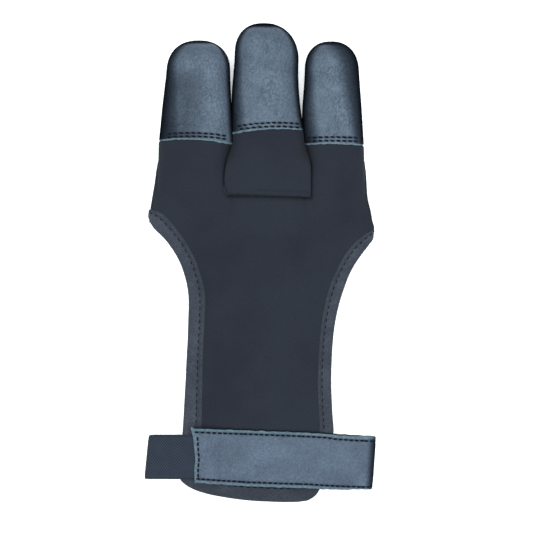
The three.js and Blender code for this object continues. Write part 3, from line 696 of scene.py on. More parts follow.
def stitches(name, sewn, material, length, width):
    """Sewn stitches as one mesh. Each is a (place, direction, up), where a short plump length of
    thread dips into the work at both ends."""
    points, faces = [], []
    for place, direction, up in sewn:
        side = np.cross(direction, up)
        first = len(points)
        for t in np.linspace(-1, 1, STITCH_RINGS):
            thick = width / 2 * (1 - abs(t) ** 3) ** 0.5 + STITCH_END
            rise = STITCH_PROUD * width - STITCH_DIP * width * t * t
            middle = place + direction * (t * length / 2) + up * rise
            for k in range(STITCH_SIDES):
                angle = 2 * math.pi * k / STITCH_SIDES
                out = up * (thick * STITCH_FLAT * math.sin(angle))
                points.append(middle + side * (thick * math.cos(angle)) + out)
        for ring in range(first, first + (STITCH_RINGS - 1) * STITCH_SIDES, STITCH_SIDES):
            for k in range(STITCH_SIDES):
                a = ring + k
                b = ring + (k + 1) % STITCH_SIDES
                faces.append((a, b, b + STITCH_SIDES, a + STITCH_SIDES))
        faces.append(tuple(range(first + STITCH_SIDES - 1, first - 1, -1)))
        last = first + (STITCH_RINGS - 1) * STITCH_SIDES
        faces.append(tuple(range(last, last + STITCH_SIDES)))
    mesh = bpy.data.meshes.new(name)
    mesh.from_pydata([tuple(p * MM) for p in points], [], faces)
    return finished(name, mesh, material)


def tip_section(f, y, grow):
    """Centre, half width, rise above the seam and depth share of a fingertip at a place along it."""
    from_tip = np.maximum(f["tip_y"] + grow - y, 0)
    in_dome = 1 - np.minimum(from_tip / (f["dome_length"] + grow), 1)
    dome = rounded(in_dome, DOME_ROUND)
    to_dome = step(f["mouth_y"], f["tip_y"] - f["dome_length"], y)
    height = MOUTH_HEIGHT + (TIP_HEIGHT - MOUTH_HEIGHT) * to_dome
    half = (through(y, f["at"], f["half"]) + grow) * dome
    rise = (height - SEAM + grow) * rounded(in_dome, TOP_ROUND)
    return through(y, f["at"], f["centre"]), half, rise, dome


def tip_ring(f, y, grow, angles):
    """A ring of points round a fingertip, each with its own place along it."""
    centre, half, rise, sink = tip_section(f, y, grow)
    power = 2 / TIP_ROUND
    across = np.sign(np.cos(angles)) * np.abs(np.cos(angles)) ** power
    up = np.abs(np.sin(angles)) ** power
    depth = (SEAM + grow) * sink
    under = np.maximum(SEAM - depth, SEAM - depth * BELLY * up)
    z = np.where(np.sin(angles) >= 0, SEAM + rise * up, under)
    return np.stack([centre + half * across, y, z], -1)


def on_tip(f, x, y):
    """A point on top of a fingertip, with the directions across it and out of it."""
    def spot(px, py):
        centre, half, rise, _ = tip_section(f, np.array(py), 0)
        return np.array([px, py, float(SEAM + rise * rounded((px - centre) / half, TIP_ROUND))])
    near = 0.4
    across = spot(x + near, y) - spot(x - near, y)
    along = spot(x, y + near) - spot(x, y - near)
    up = np.cross(across, along)
    return spot(x, y), across / np.linalg.norm(across), up / np.linalg.norm(up)


# The face tone carries the fingertips' broad sheen as painted light; the second tone is their painted shade
tip_leather = leather_material("tip_leather", "#46505d", "#0a0c10", "#667983", 0.25, 0.65)
thread = thread_material()
angles = np.linspace(0, 2 * math.pi, TIP_COLUMNS)
on_top = np.sin(angles) >= 0
dome_shares = 1 - (1 - BARREL[1]) * np.linspace(1, 0, DOME_ROWS + 1)[1:] ** 2
tip_shares = np.concatenate([LIP_SHARES, np.linspace(*BARREL, BARREL_ROWS), dome_shares])
tip_insets = np.zeros(len(tip_shares))
tip_insets[:len(LIP_INSETS)] = LIP_INSETS

for number, (finger, f) in enumerate(FINGERS.items()):
    mouth_x = tip_ring(f, np.full(len(angles), f["mouth_y"]), 0, angles)[:, 0]
    wander = [
        noise.noise(Vector((x * WANDER_ACROSS, number * WANDER_FINGER, math.sin(angle) * WANDER_ROUND)))
        for x, angle in zip(mouth_x, angles)
    ]
    start = mouth_at(f, mouth_x) + MOUTH_WANDER * np.array(wander)
    end = f["tip_y"]
    outer = np.array([
        tip_ring(f, start + (end - start) * share, -inset, angles)
        for share, inset in zip(tip_shares, tip_insets)
    ])
    inner = np.array([
        tip_ring(f, start + (end - TIP_WALL - start) * share, -TIP_WALL, angles) for share in tip_shares
    ])
    across, along, height = (outer[..., k] for k in range(3))
    top = np.clip(np.sin(angles), 0, 1) ** 0.5
    away = np.clip((along - start) / DENTS_AWAY, 0, 1) * np.clip((end - along) / DENTS_AWAY, 0, 1)
    creases = CREASE_LEVEL - np.abs(rumple(outer * CREASE_STRETCH, CREASE_SIZE, number + 3)) ** CREASE_SHARP
    dents = rumple(outer, DENT_SIZE, number + 8)
    height += (CREASE * creases + DENT * dents) * top * away
    groove = np.zeros(outer.shape[:2])
    for first, last, low, high in TIP_STITCHES[finger]:
        in_row = (across - first) / (last - first)
        inside = step(-GROOVE_FADE, 0, in_row) * (1 - step(1, 1 + GROOVE_FADE, in_row))
        from_thread = along - start - low - (high - low) * in_row
        groove = np.maximum(groove, ridge(from_thread, GROOVE_WIDTH) * inside * (np.sin(angles) > 0))
    height -= GROOVE_DEPTH * groove

    centre, half, _, _ = tip_section(f, along, 0)
    to_dome = np.clip((along - f["mouth_y"]) / (end - f["dome_length"] - f["mouth_y"]), 0, 1)
    left_roll, right_roll = (
        f[key][0] + (f[key][1] - f[key][0]) * to_dome for key in ("left_roll", "right_roll")
    )
    # Painted shade: the rolled sides, the dome's rim, the darker lower left half, the stitch grooves and the underside
    lit = np.ones(outer.shape[:2])
    for edge_share in (
        (across - centre + half - ROLL_EDGE) / left_roll,
        (centre + half - across - ROLL_EDGE) / right_roll,
        (end - along - f["end_roll"][0]) / (f["end_roll"][1] - f["end_roll"][0]),
    ):
        share = np.clip(edge_share, 0, 1)
        lit = lit * (ROLL_EVEN * share + (1 - ROLL_EVEN) * share**ROLL_POWER)
    wear_and_shade = f["dim"] * (1 - step(*DIM_ACROSS, (across - centre) / np.maximum(half, SMALLEST)))
    wear_and_shade = wear_and_shade * (1 - step(*DIM_END, along))
    shade = 1 - (1 - wear_and_shade) * (1 - GROOVE_SHADE * groove) * lit
    shade = np.where(on_top, shade, np.maximum(shade, UNDERSIDE_SHADE))
    raw = np.zeros(outer.shape[:2])
    raw[:len(LIP_RAW)] = np.array(LIP_RAW)[:, None]
    marks = {"shade": shade, "raw": raw}
    tip = wall(finger + "_fingertip", outer, inner, tip_leather, ring=True, pole=True, marks=marks)
    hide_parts(finger + "_tip")

for finger, rows in TIP_STITCHES.items():
    f = FINGERS[finger]
    sewn = []
    for first, last, low, high in rows:
        count = int((last - first) / TIP_PITCH)
        for k in range(count + 1):
            x = first + (last - first) * k / count
            y = float(mouth_at(f, x)) + low + (high - low) * k / count
            here, across, up = on_tip(f, x, y)
            direction = across * TIP_STITCH_SLANT[0] - np.cross(up, across) * TIP_STITCH_SLANT[1]
            sewn.append((here - up * TIP_STITCH_DOWN, direction, up))
    stitches(finger + "_fingertip_stitches", sewn, thread, *TIP_STITCH)

# Edge tape
# Lighter woven tape folded over the raw edge of the back and of the palm band, in one loop.
# It is sewn down with one row of dark thread about a third of the way in from its inner edge.
TAPE = 0.6
TAPE_FOLD = 1.5
TAPE_REACH = 0.4
TAPE_SEAM = 0.72
# Outer edge and inner edge of the tape on the back, from the left knuckle round the wrist
TAPE_BACK = [
    (-50.4, 19.9, -49.5, 24.4), (-49.7, 18.1, -47.2, 23.9), (-48.1, 15.7, -44.0, 22.4),
    (-45.6, 13.3, -40.9, 19.5), (-42.9, 10.6, -37.9, 15.9), (-40.2, 7.1, -35.1, 12.2),
    (-36.6, 1.0, -30.7, 5.1), (-34.5, -4.4, -27.9, -1.3), (-33.2, -9.3, -26.2, -6.8),
    (-32.4, -14.7, -24.8, -12.7), (-32.3, -19.2, -24.5, -17.9), (-32.5, -26.0, -24.8, -26.0),
    (-32.8, -35.0, -25.2, -35.0), (-33.3, -44.0, -25.6, -44.0), (-33.7, -53.0, -25.7, -53.0),
    (-34.2, -62.0, -25.9, -62.0), (-34.7, -71.0, -26.0, -71.0), (-35.1, -78.2, -26.4, -77.7),
    (-35.9, -86.7, -27.8, -85.4), (-36.5, -93.5, -28.9, -90.8), (-36.0, -97.6, -28.7, -93.5),
    (-33.8, -99.8, -27.6, -95.1), (-30.3, -101.8, -25.6, -96.0), (-24.9, -103.6, -22.2, -96.5),
    (-15.9, -105.4, -14.5, -97.4), (-4.9, -106.8, -4.6, -98.0), (4.4, -107.3, 4.4, -98.4),
    (12.5, -107.5, 11.1, -98.4), (17.9, -107.3, 15.2, -98.2), (21.5, -106.6, 17.6, -97.7),
    (24.2, -104.9, 19.0, -96.5), (25.7, -103.1, 19.9, -95.1), (27.1, -99.6, 20.8, -92.8),
    (28.7, -93.5, 22.1, -89.7), (30.7, -85.4, 24.2, -83.4), (32.4, -77.3, 25.9, -75.7),
    (32.0, -66.9, 25.6, -66.0), (31.6, -57.5, 25.2, -57.0), (31.6, -48.5, 25.3, -48.0),
    (32.0, -39.5, 25.8, -38.9), (32.8, -30.5, 26.6, -29.5), (34.4, -21.5, 28.1, -19.9),
    (37.0, -12.5, 30.7, -10.0), (40.6, -3.5, 34.8, -0.9), (43.3, 1.0, 37.7, 4.3),
    (46.6, 5.5, 41.7, 9.1), (49.1, 8.7, 45.1, 12.0), (50.6, 10.9, 47.8, 13.9), (51.6, 12.9, 49.9, 15.6),
]
# On the palm side it follows the palm band's edge, at these turns round the hand
PALM_TURNS = [-0.35, -0.7, -1.2, -1.57, -2.0, -2.45, -2.8]
PALM_TAPE = 7.4
PALM_TAPE_Y = 14.0
TAPE_SAMPLES = 520
LEAST_STEP = 0.2
# Columns of its section on top, round the fold and underneath, and how far it reaches underneath
TOP_COLUMNS = 8
FOLD_COLUMNS = 9
UNDER_COLUMNS = 6
UNDER_REACH = 0.8
# Its inner edge is pressed down, from this share of the way in
PRESSED = 0.3
PRESSED_FROM = 0.7
# How dark its painted shade is: in the seam's crease, inside the seam, at the inner edge and round
# the fold, and the painted shadow of the strap at the wrist
SEAM_SHADE = 0.35
SEAM_FADE = 0.07
INSIDE_SHADE = 0.16
INNER_EDGE_SHADE = 0.2
FOLD_SHADE = 0.6
FOLD_FADE = 2.0
WRIST_SHADE = 0.3
WRIST_END = (-104, -98)
TAPE_PITCH = 3.0
TAPE_STITCH_DOWN = 0.1
TAPE_STITCH_REACH = 0.6
TAPE_STITCH = (2.3, 0.42)
TAPE_RIB = 0.62
TAPE_CLOUD = 8
TAPE_RELIEF = 0.15


def hand_point(turn, y):
    """A point on the hand: turn 0 is its right side, a quarter turn the back, below 0 the palm."""
    share = np.sign(np.cos(turn)) * np.abs(np.cos(turn)) ** (2 / ROUND)
    x = hand("centre", y) + hand("half", y) * share
    up = np.abs(np.sin(turn)) ** (2 / ROUND)
    lift = np.clip(hand("lift", y), 0, SEAM)
    over = SEAM + (hand("crown", y) - SEAM) * up
    under = np.maximum(lift, SEAM - (SEAM - lift) * BELLY * up)
    return np.stack([x, y, np.where(np.sin(turn) >= 0, over, under) - sag(x, y)], -1)


def hand_normal(turn, y):
    """Direction out of the hand at a point on it."""
    near_turn, near_y = 0.02, 0.2
    round_it = hand_point(turn + near_turn, y) - hand_point(turn - near_turn, y)
    along = hand_point(turn, y + near_y) - hand_point(turn, y - near_y)
    normal = np.cross(along, round_it)
    return normal / np.linalg.norm(normal, axis=-1, keepdims=True)


def turn_at(x, y):
    """Turn of the point on the back over a place."""
    share = np.clip((x - hand("centre", y)) / hand("half", y), -1, 1)
    return np.arccos(np.sign(share) * np.abs(share) ** (ROUND / 2))


def lengths_along(points):
    """Distance of each point from the first one, along the line through them."""
    return np.concatenate([[0], np.cumsum(np.linalg.norm(np.diff(points, axis=0), axis=1))])


def tape_material():
    """Woven binding tape: dull, lighter than the knit, with fine cross ribs that catch the light."""
    material, tree = empty_material("woven_edge_tape")
    ribs = pattern(tree, TAPE_RIB, 2.0, stretch=(0.5, 1.6, 1))
    cloudy = pattern(tree, TAPE_CLOUD, 3.0)
    shader = node(tree, "BsdfPrincipled", {
        "Base Color": layered(tree, colour("#2a2d35"), [
            (node(tree, "MapRange", {"Value": cloudy, **MIDDLE}), colour("#33373f")),
            (node(tree, "MapRange", {"Value": ribs, **MIDDLE, "To Max": 0.6}), colour("#171a21")),
            # Painted shade where the shade mark says
            (node(tree, "Attribute", output="Fac", attribute_name="shade"), colour("#0b0d11")),
        ]),
        "Roughness": 0.9, "Specular IOR Level": 0.2, "Sheen Weight": 0.03,
        "Normal": node(tree, "Bump", {"Height": ribs, "Distance": TAPE_RELIEF * MM, "Strength": 0.6}),
    })
    node(tree, "OutputMaterial", {"Surface": shader})
    return material


rows = [(turn_at(x, y), y, turn_at(in_x, in_y), in_y) for x, y, in_x, in_y in TAPE_BACK]
rows[0] = (math.pi, rows[0][1], math.pi, rows[0][3])
rows[-1] = (0.0, rows[-1][1], 0.0, rows[-1][3])
for turn in PALM_TURNS:
    across = hand_point(np.array(turn), np.array(PALM_TAPE_Y))[0]
    rows.append((turn, palm_edge(across), turn, palm_edge(across) + PALM_TAPE))
rows = np.array(rows, float)
# The loop closes on itself, with its ends repeated a full turn away
overlap = 3
full_turn = [[2 * math.pi, 0, 2 * math.pi, 0]]
loop = np.concatenate([rows[-overlap:] + full_turn, rows, rows[:overlap] - full_turn])
spots = hand_point(loop[:, 0], loop[:, 1]) + hand_point(loop[:, 2], loop[:, 3])
lengths = lengths_along(spots / 2) + LEAST_STEP * np.arange(len(loop))
tape_at = np.linspace(lengths[overlap], lengths[overlap + len(rows)], TAPE_SAMPLES + 1)
outer_turn, outer_y, inner_turn, inner_y = (through(tape_at, lengths, loop[:, k]) for k in range(4))
tape_width = np.linalg.norm(hand_point(outer_turn, outer_y) - hand_point(inner_turn, inner_y), axis=1)


def on_tape(inward, out):
    """Points at a distance in from the tape's outer edge and out of the middle of the fabric."""
    share = np.minimum((inward - TAPE_REACH) / tape_width, 1)
    turn = outer_turn + (inner_turn - outer_turn) * share
    y = outer_y + (inner_y - outer_y) * share
    return hand_point(turn, y) + hand_normal(turn, y) * (out - FABRIC / 2)[..., None]


def tape_profile(radius, pressed):
    """Section of the tape, from its inner edge over the fold to its other edge."""
    section = []
    for t in np.linspace(1, 0, TOP_COLUMNS + 1)[:-1]:
        out = radius - pressed * step(PRESSED_FROM, 1, t)
        section.append((TAPE_FOLD + (tape_width - TAPE_FOLD) * t, out))
    for angle in np.linspace(math.pi / 2, -math.pi / 2, FOLD_COLUMNS):
        section.append((TAPE_FOLD - radius * math.cos(angle), radius * math.sin(angle)))
    for t in np.linspace(0, UNDER_REACH, UNDER_COLUMNS + 1)[1:]:
        section.append((TAPE_FOLD + (tape_width - TAPE_FOLD) * t, -radius))
    flat = np.zeros_like(tape_width)
    return np.array([on_tape(flat + inward, flat + out) for inward, out in section])


tape = tape_material()
tape_outer = tape_profile(TAPE_FOLD, PRESSED)
tape_inner = tape_profile(TAPE_FOLD - TAPE, 0)
tape_outer[:, -1] = tape_outer[:, 0]
inward = np.linspace(1, 0, TOP_COLUMNS + 1)[:-1]
# Painted shade on the tape, and the painted shadow of the strap at the wrist
crease = SEAM_SHADE * ridge(inward - TAPE_SEAM, SEAM_FADE) + INSIDE_SHADE * (inward > TAPE_SEAM)
crease = crease + INNER_EDGE_SHADE * (inward == 1)
fold = FOLD_SHADE * ridge(np.arange(FOLD_COLUMNS) - FOLD_COLUMNS // 2, FOLD_FADE)
tape_shade = np.concatenate([crease, fold, np.zeros(UNDER_COLUMNS)])[:, None]
tape_shade = np.maximum(tape_shade, WRIST_SHADE * (1 - step(*WRIST_END, tape_outer[..., 1])))
edge_binding = wall("edge_tape", tape_outer, tape_inner, tape, ring=True, marks={"shade": tape_shade})
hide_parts("edge_binding")

seam = on_tape(tape_width * TAPE_SEAM, np.full_like(tape_width, TAPE_FOLD))
seam_turn, seam_y = (
    outer + (inner - outer) * TAPE_SEAM for outer, inner in ((outer_turn, inner_turn), (outer_y, inner_y))
)
seam_normal = hand_normal(seam_turn, seam_y)
seam_length = lengths_along(seam)
sewn = []
for at in np.arange(TAPE_PITCH, seam_length[-1], TAPE_PITCH):
    here, before, after = (
        np.array([np.interp(at + d, seam_length, seam[:, k]) for k in range(3)])
        for d in (0, -TAPE_STITCH_REACH, TAPE_STITCH_REACH)
    )
    up = np.array([np.interp(at, seam_length, seam_normal[:, k]) for k in range(3)])
    up /= np.linalg.norm(up)
    direction = (after - before) / np.linalg.norm(after - before)
    sewn.append((here - up * TAPE_STITCH_DOWN, direction, up))
stitches("edge_tape_stitches", sewn, thread, *TAPE_STITCH)

# Leather run of the wrist strap
# A flat leather strap over the back of the wrist, folded round at its right end and running back
# under the wrist. Its edges are cut raw and sewn with one row of dark thread all round, and its
# left end lies over the woven elastic.
STRAP = 1.3
STRAP_Y = -87.9
STRAP_TILT = math.radians(-2.6)
STRAP_FRONT = 11.95
STRAP_OVER = 13.45
STRAP_LOW = 1.02
STRAP_LEFT = -30.0
STRAP_RIGHT = 50.4
STRAP_RETURN = -6.5
# How it comes down from over the elastic: distance from its left end, and height
STRAP_RAMP = [(0, STRAP_OVER), (5.5, STRAP_OVER), (9, 13.15), (13, 12.2), (17, STRAP_FRONT)]
# It fans out a little between these distances from its left end
STRAP_SLANT = 0.025
SLANT_ALONG = (40, 80)
FOLD = 2.6
FOLD_STEPS = 8
RUN_STEP = 0.6
RUN_SMOOTHING = 6
# Left raw end: how far along it lies at a place across the strap, and how soon that evens out
STRAP_END = [(-12.2, -29.2), (-10.8, -29.25), (-6, -29.6), (-1.5, -29.4), (3, -30.1), (7, -30.6),
             (12.2, -32.0)]
END_EVENS = 7
# Along the strap from its left end, for its upper and its lower side: half width, how far in from
# the side the seam runs, and how wide the raw cut shows
STRAP_ALONG = [0, 14, 25, 39, 52, 59, 64, 70, 77, 82, 90]
STRAP_SIDES = {
    "half": ([12.6, 12.7, 12.8, 12.9, 12.95, 12.85, 12.55, 12.45, 12.5, 12.3, 11.7],
             [12.1, 12.55, 12.7, 12.6, 12.4, 12.55, 12.6, 12.3, 11.85, 11.75, 11.7]),
    "seam": ([2.1, 2.15, 2.15, 2.15, 2.15, 2.2, 2.4, 2.4, 2.5, 2.2, 1.8],
             [1.8, 1.8, 1.8, 1.8, 1.8, 1.8, 1.8, 1.5, 1.1, 1.3, 1.8]),
    "raw": ([1.35, 1.4, 1.4, 1.4, 1.4, 1.5, 1.65, 1.65, 1.6, 1.3, 1.0],
            [0.9, 0.95, 0.95, 0.95, 0.95, 0.95, 0.95, 0.85, 0.7, 0.8, 1.0]),
}
# Columns across it, as shares of its half width: closer in its edges than between them
EDGE_SHARES = (0.86, 1)
EDGE_COLUMNS = 10
INNER_SHARE = 0.84
INNER_COLUMNS = 40
# The cut sides wander a little, round over and lie lower than the leather between the seams
CUT_WANDER = 0.28
CUT_WANDER_ALONG = 0.35
CUT_FROM = 0.9
CUT_DROP = 0.45
CUT_REACH = 0.5
STRAP_SEAM = 1.8
SEAM_DEPTH = 0.22
SEAM_WIDTH = 0.4
PILLOW = 0.12
PILLOW_RISE = (1.9, 4.5)
# Soft waves in the front run, long ones across it and shorter ones along it
STRAP_WAVE = 0.22
WAVE_ALONG = 11
WAVE_ACROSS = 30
WAVE_FROM_SIDE = (1.5, 5)
WAVE_FROM_END = (2, 8)
WAVE_TO_FOLD = (72, 82)
# Painted shade where the leather turns down into the fold, and a dark rim of painted shade on its upper side
TURNED = 0.85
TURNED_ALONG = (76.8, 81)
RIM = 0.95
RIM_WIDTH = (0.4, 0.7)
RIM_START = (0.7, 1.1)
RIM_END = (71, 76)
# Raw cut: half the width over which it fades, how far in it shows at the left end, and how much
# of it is lost round the fold, under the painted shade there
RAW_FADE = 0.2
RAW_END = (1.0, 1.5)
RAW_LOST = 0.7
# Painted shade along the seam's groove
STRAP_GROOVE = 0.45
STRAP_GROOVE_WIDTH = 0.5
STRAP_GROOVE_FROM = (1.2, 1.8)
# Stitches along both sides and across the left end
STRAP_PITCH = 2.35
STRAP_SET_DOWN = 0.15
FOLD_SET_DOWN = 0.3
SIDE_STITCHES = (1.6, 1.5)
END_STITCHES = (-8.9, 9.9)
END_ROW = 3
STRAP_STITCH = (2.15, 0.78)


def folded(side_x, side, top, bottom):
    """Side view points of a strap's two rounded corners, from its front run to its floor run."""
    points = []
    for z, lower in ((top - FOLD, 0), (bottom + FOLD, 1)):
        for k in range(FOLD_STEPS + 1):
            angle = (lower + k / FOLD_STEPS) * math.pi / 2
            points.append((side_x + side * (math.sin(angle) * FOLD - FOLD), z + math.cos(angle) * FOLD))
    return points


def strap_run(path):
    """The side view path at even steps, smoothed, with its outward direction."""
    path = np.array(path, float)
    length = lengths_along(path)
    at = np.arange(0, length[-1], RUN_STEP)
    points = np.stack([np.interp(at, length, path[:, k]) for k in range(2)], -1)
    for _ in range(RUN_SMOOTHING):
        points[1:-1] = (points[:-2] + 2 * points[1:-1] + points[2:]) / 4
    tangent = np.gradient(points, axis=0)
    tangent /= np.linalg.norm(tangent, axis=1, keepdims=True)
    return at, points, np.stack([-tangent[:, 1], tangent[:, 0]], -1)


# The face tone carries the strap's broad sheen as painted light; the second tone is its painted shade
strap_leather_look = leather_material("strap_leather", "#3e4756", "#080b0f", "#4f5f68", 0.25, 0.3)
strap_at, strap_points, strap_out = strap_run([
    *[(STRAP_LEFT + a, z) for a, z in STRAP_RAMP],
    *folded(STRAP_RIGHT, 1, STRAP_FRONT, STRAP_LOW), (STRAP_RETURN, STRAP_LOW),
])
strap_sides = {
    key: [np.interp(strap_at, STRAP_ALONG, values) for values in sides] for key, sides in STRAP_SIDES.items()
}
turned = TURNED * step(*TURNED_ALONG, strap_at)
edge_shares = np.linspace(*EDGE_SHARES, EDGE_COLUMNS)
inner_shares = np.linspace(-INNER_SHARE, INNER_SHARE, INNER_COLUMNS)
width_shares = np.concatenate([-edge_shares[::-1], inner_shares, edge_shares])
end_b, end_a = (np.array(column) for column in zip(*STRAP_END))


def strap_place(row, b, out):
    """Points across the strap at a row of its path, at distances b across and out of its middle."""
    a = strap_points[row, 0] + strap_out[row, 0] * out
    a = a + (through(b, end_b, end_a) - STRAP_LEFT) * math.exp(-strap_at[row] / END_EVENS)
    a = a + STRAP_SLANT * b * step(*SLANT_ALONG, strap_at[row])
    z = strap_points[row, 1] + strap_out[row, 1] * out
    x = a * math.cos(STRAP_TILT) - b * math.sin(STRAP_TILT)
    y = STRAP_Y + a * math.sin(STRAP_TILT) + b * math.cos(STRAP_TILT)
    return np.stack(np.broadcast_arrays(x, y, z), -1)


def cut_and_seam(from_cut, seam_in):
    """How far the leather's surface lies down at a distance from a cut side, with its seam."""
    return CUT_DROP * (1 - step(0, CUT_REACH, from_cut)) + SEAM_DEPTH * ridge(from_cut - seam_in, SEAM_WIDTH)


upper = width_shares > 0
strap_outer, strap_inner, strap_raw, strap_shade = [], [], [], []
for row, at in enumerate(strap_at):
    low_wander, high_wander = (
        CUT_WANDER * noise.noise(Vector((at * CUT_WANDER_ALONG, seed, 0))) for seed in (2.0, 9.0)
    )
    half, seam_in, raw_in = (np.where(upper, high[row], low[row]) for high, low in strap_sides.values())
    b = width_shares * half
    b = b + np.where(width_shares > CUT_FROM, high_wander, 0)
    b = b + np.where(width_shares < -CUT_FROM, low_wander, 0)
    from_edge = half * (1 - np.abs(width_shares))
    sunk = np.maximum(cut_and_seam(from_edge, seam_in), cut_and_seam(at, STRAP_SEAM))
    pillow = PILLOW * step(*PILLOW_RISE, from_edge) * step(*PILLOW_RISE, at)
    wave = np.array([noise.noise(Vector((at / WAVE_ALONG, v / WAVE_ACROSS, 4.0))) for v in b]) * STRAP_WAVE
    wave = wave * step(*WAVE_FROM_SIDE, from_edge) * step(*WAVE_FROM_END, at) * (1 - step(*WAVE_TO_FOLD, at))
    strap_outer.append(strap_place(row, b, STRAP / 2 - sunk + pillow + wave))
    strap_inner.append(strap_place(row, b, -STRAP / 2))
    # Painted shade: round the fold, the rim on the upper side and the seams' grooves
    rim = upper * (1 - step(*RIM_WIDTH, from_edge)) * step(*RIM_START, at) * (1 - step(*RIM_END, at))
    cut = np.maximum(1 - step(raw_in - RAW_FADE, raw_in + RAW_FADE, from_edge), 1 - step(*RAW_END, at))
    groove = ridge(from_edge - seam_in, STRAP_GROOVE_WIDTH) * step(*STRAP_GROOVE_FROM, at)
    strap_raw.append(cut * (1 - rim) * (1 - RAW_LOST * turned[row]))
    strap_shade.append(np.maximum(turned[row], np.maximum(RIM * rim, STRAP_GROOVE * groove)))
marks = {"shade": np.array(strap_shade), "raw": np.array(strap_raw)}
strap = wall("leather_strap", np.array(strap_outer), np.array(strap_inner), strap_leather_look, marks=marks)
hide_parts("strap_leather")

sewn = []
for sign, side in ((-1, 1), (1, 0)):
    for at in np.arange(SIDE_STITCHES[0], strap_at[-1] - SIDE_STITCHES[1], STRAP_PITCH):
        row = int(np.searchsorted(strap_at, at))
        b = sign * (strap_sides["half"][side][row] - strap_sides["seam"][side][row])
        out = STRAP / 2 - STRAP_SET_DOWN - FOLD_SET_DOWN * turned[row]
        here, before, after = (
            strap_place(min(max(row + d, 0), len(strap_at) - 1), b, out) for d in (0, -1, 1)
        )
        lift = strap_place(row, b, STRAP / 2 + 1) - here
        sewn.append((here, (after - before) / np.linalg.norm(after - before), lift / np.linalg.norm(lift)))
for b in np.arange(*END_STITCHES, STRAP_PITCH):
    here, beyond = (strap_place(END_ROW, b + d, STRAP / 2 - STRAP_SET_DOWN) for d in (0, 1))
    sewn.append((here, (beyond - here) / np.linalg.norm(beyond - here), np.array([0, 0, 1.0])))
stitches("leather_strap_stitches", sewn, thread, *STRAP_STITCH)

# Woven elastic run of the wrist strap
# A 20 mm woven elastic band with a fine twill, from under the leather's left end round a fold and
# back under the wrist, where it rises over the hook and loop pad.
ELASTIC = 1.2
ELASTIC_HALF = 9.8
ELASTIC_Y = -87.4
ELASTIC_LEFT = -51.5
ELASTIC_FRONT = 11.9
ELASTIC_END = -25.5
ELASTIC_SLANT = 0.1
ELASTIC_OVER = 3.5
# Side view of its run under the wrist, from its end on the pad down to the table
ELASTIC_RISE = [(23.8, ELASTIC_OVER), (-8, ELASTIC_OVER), (-10, 3.1), (-15, 1.0), (-17, ELASTIC / 2)]
ELASTIC_COLUMNS = 41
# The selvedges are thinner, and the front run sags at its sides between the fold and the leather
SELVEDGE_THIN = 0.45
SELVEDGE_POWER = 12
ELASTIC_SAG = 0.35
SAG_ALONG = (-47, -33)
SAG_ABOVE = 9
SAG_POWER = 4
# How dark its painted shade is round the fold and along the selvedges
TURN_SHADE = 0.75
TURN_REACH = (0.2, 1.5)
SELVEDGE_SHADE = 0.5
SELVEDGE_FADE = 0.5
# Sizes in the weave: spacing of the twill's dots across and along, its uneven patches and yarns
TWILL_X = 1.25
TWILL_Y = 1.45
WEAVE_PATCH = 6
YARN = 3
WEAVE_RELIEF = 0.1


def elastic_material():
    """Woven polyester elastic: dark and dull, with a small diagonal twill of raised dots, painted
    lighter than the hollows as painted light, and painted shade where the shade mark says. The real twill is about 1
    mm and is drawn a little coarser."""
    material, tree = empty_material("woven_elastic")
    x, y = (
        node(tree, "SeparateXYZ", {"Vector": node(tree, "TexCoord", output="Object")}, axis) for axis in "XY"
    )
    across = node(tree, "Math", {0: x, 1: 2 * math.pi / (TWILL_X * MM)}, operation="MULTIPLY")
    waves = []
    for way in (1, -1):
        along = node(tree, "Math", {0: y, 1: way * 2 * math.pi / (TWILL_Y * MM)}, operation="MULTIPLY")
        diagonal = node(tree, "Math", {0: across, 1: along}, operation="ADD")
        waves.append(node(tree, "Math", {0: diagonal}, operation="SINE"))
    crossing = node(tree, "Math", {0: waves[0], 1: waves[1]}, operation="ADD")
    patchy = node(tree, "MapRange", {"Value": pattern(tree, WEAVE_PATCH, 2.0), **MIDDLE, "To Min": 0.35})
    dots = node(tree, "Math", {0: crossing, 1: patchy}, operation="MULTIPLY")
    relief = node(tree, "Math", {0: dots, 1: pattern(tree, YARN, 2.0)}, operation="ADD")
    shader = node(tree, "BsdfPrincipled", {
        "Base Color": layered(tree, colour("#04060b"), [
            # Painted light: the raised twill dots are lighter than the hollows; then painted shade where the shade
            # mark says
            (node(tree, "MapRange", {"Value": relief, "From Min": -1.0, "From Max": 2.0}), colour("#232c3a")),
            (node(tree, "Attribute", output="Fac", attribute_name="shade"), colour("#020305")),
        ]),
        "Roughness": 0.85, "Specular IOR Level": 0.25,
        "Normal": node(tree, "Bump", {"Height": relief, "Distance": WEAVE_RELIEF * MM, "Strength": 0.6}),
    })
    node(tree, "OutputMaterial", {"Surface": shader})
    return material


elastic = elastic_material()
_, elastic_points, elastic_out = strap_run([
    *ELASTIC_RISE, *folded(ELASTIC_LEFT + ELASTIC / 2, -1, ELASTIC_FRONT, ELASTIC / 2)[::-1],
    (ELASTIC_END, ELASTIC_FRONT),
])
elastic_b = ELASTIC_HALF * np.sin(np.linspace(-math.pi / 2, math.pi / 2, ELASTIC_COLUMNS))
from_middle = np.abs(elastic_b) / ELASTIC_HALF
half_thick = ELASTIC / 2 * (1 - SELVEDGE_THIN * from_middle**SELVEDGE_POWER)
elastic_grids = []
for side in (1, -1):
    grid = []
    for point, out in zip(elastic_points, elastic_out):
        hangs = ELASTIC_SAG * step(*SAG_ALONG, point[0]) * (point[1] > SAG_ABOVE)
        x = point[0] + out[0] * side * half_thick + ELASTIC_SLANT * elastic_b
        z = point[1] + out[1] * side * half_thick - hangs * from_middle**SAG_POWER
        grid.append(np.stack([x, ELASTIC_Y + elastic_b, z], -1))
    elastic_grids.append(np.array(grid))
elastic_outer, elastic_inner = elastic_grids
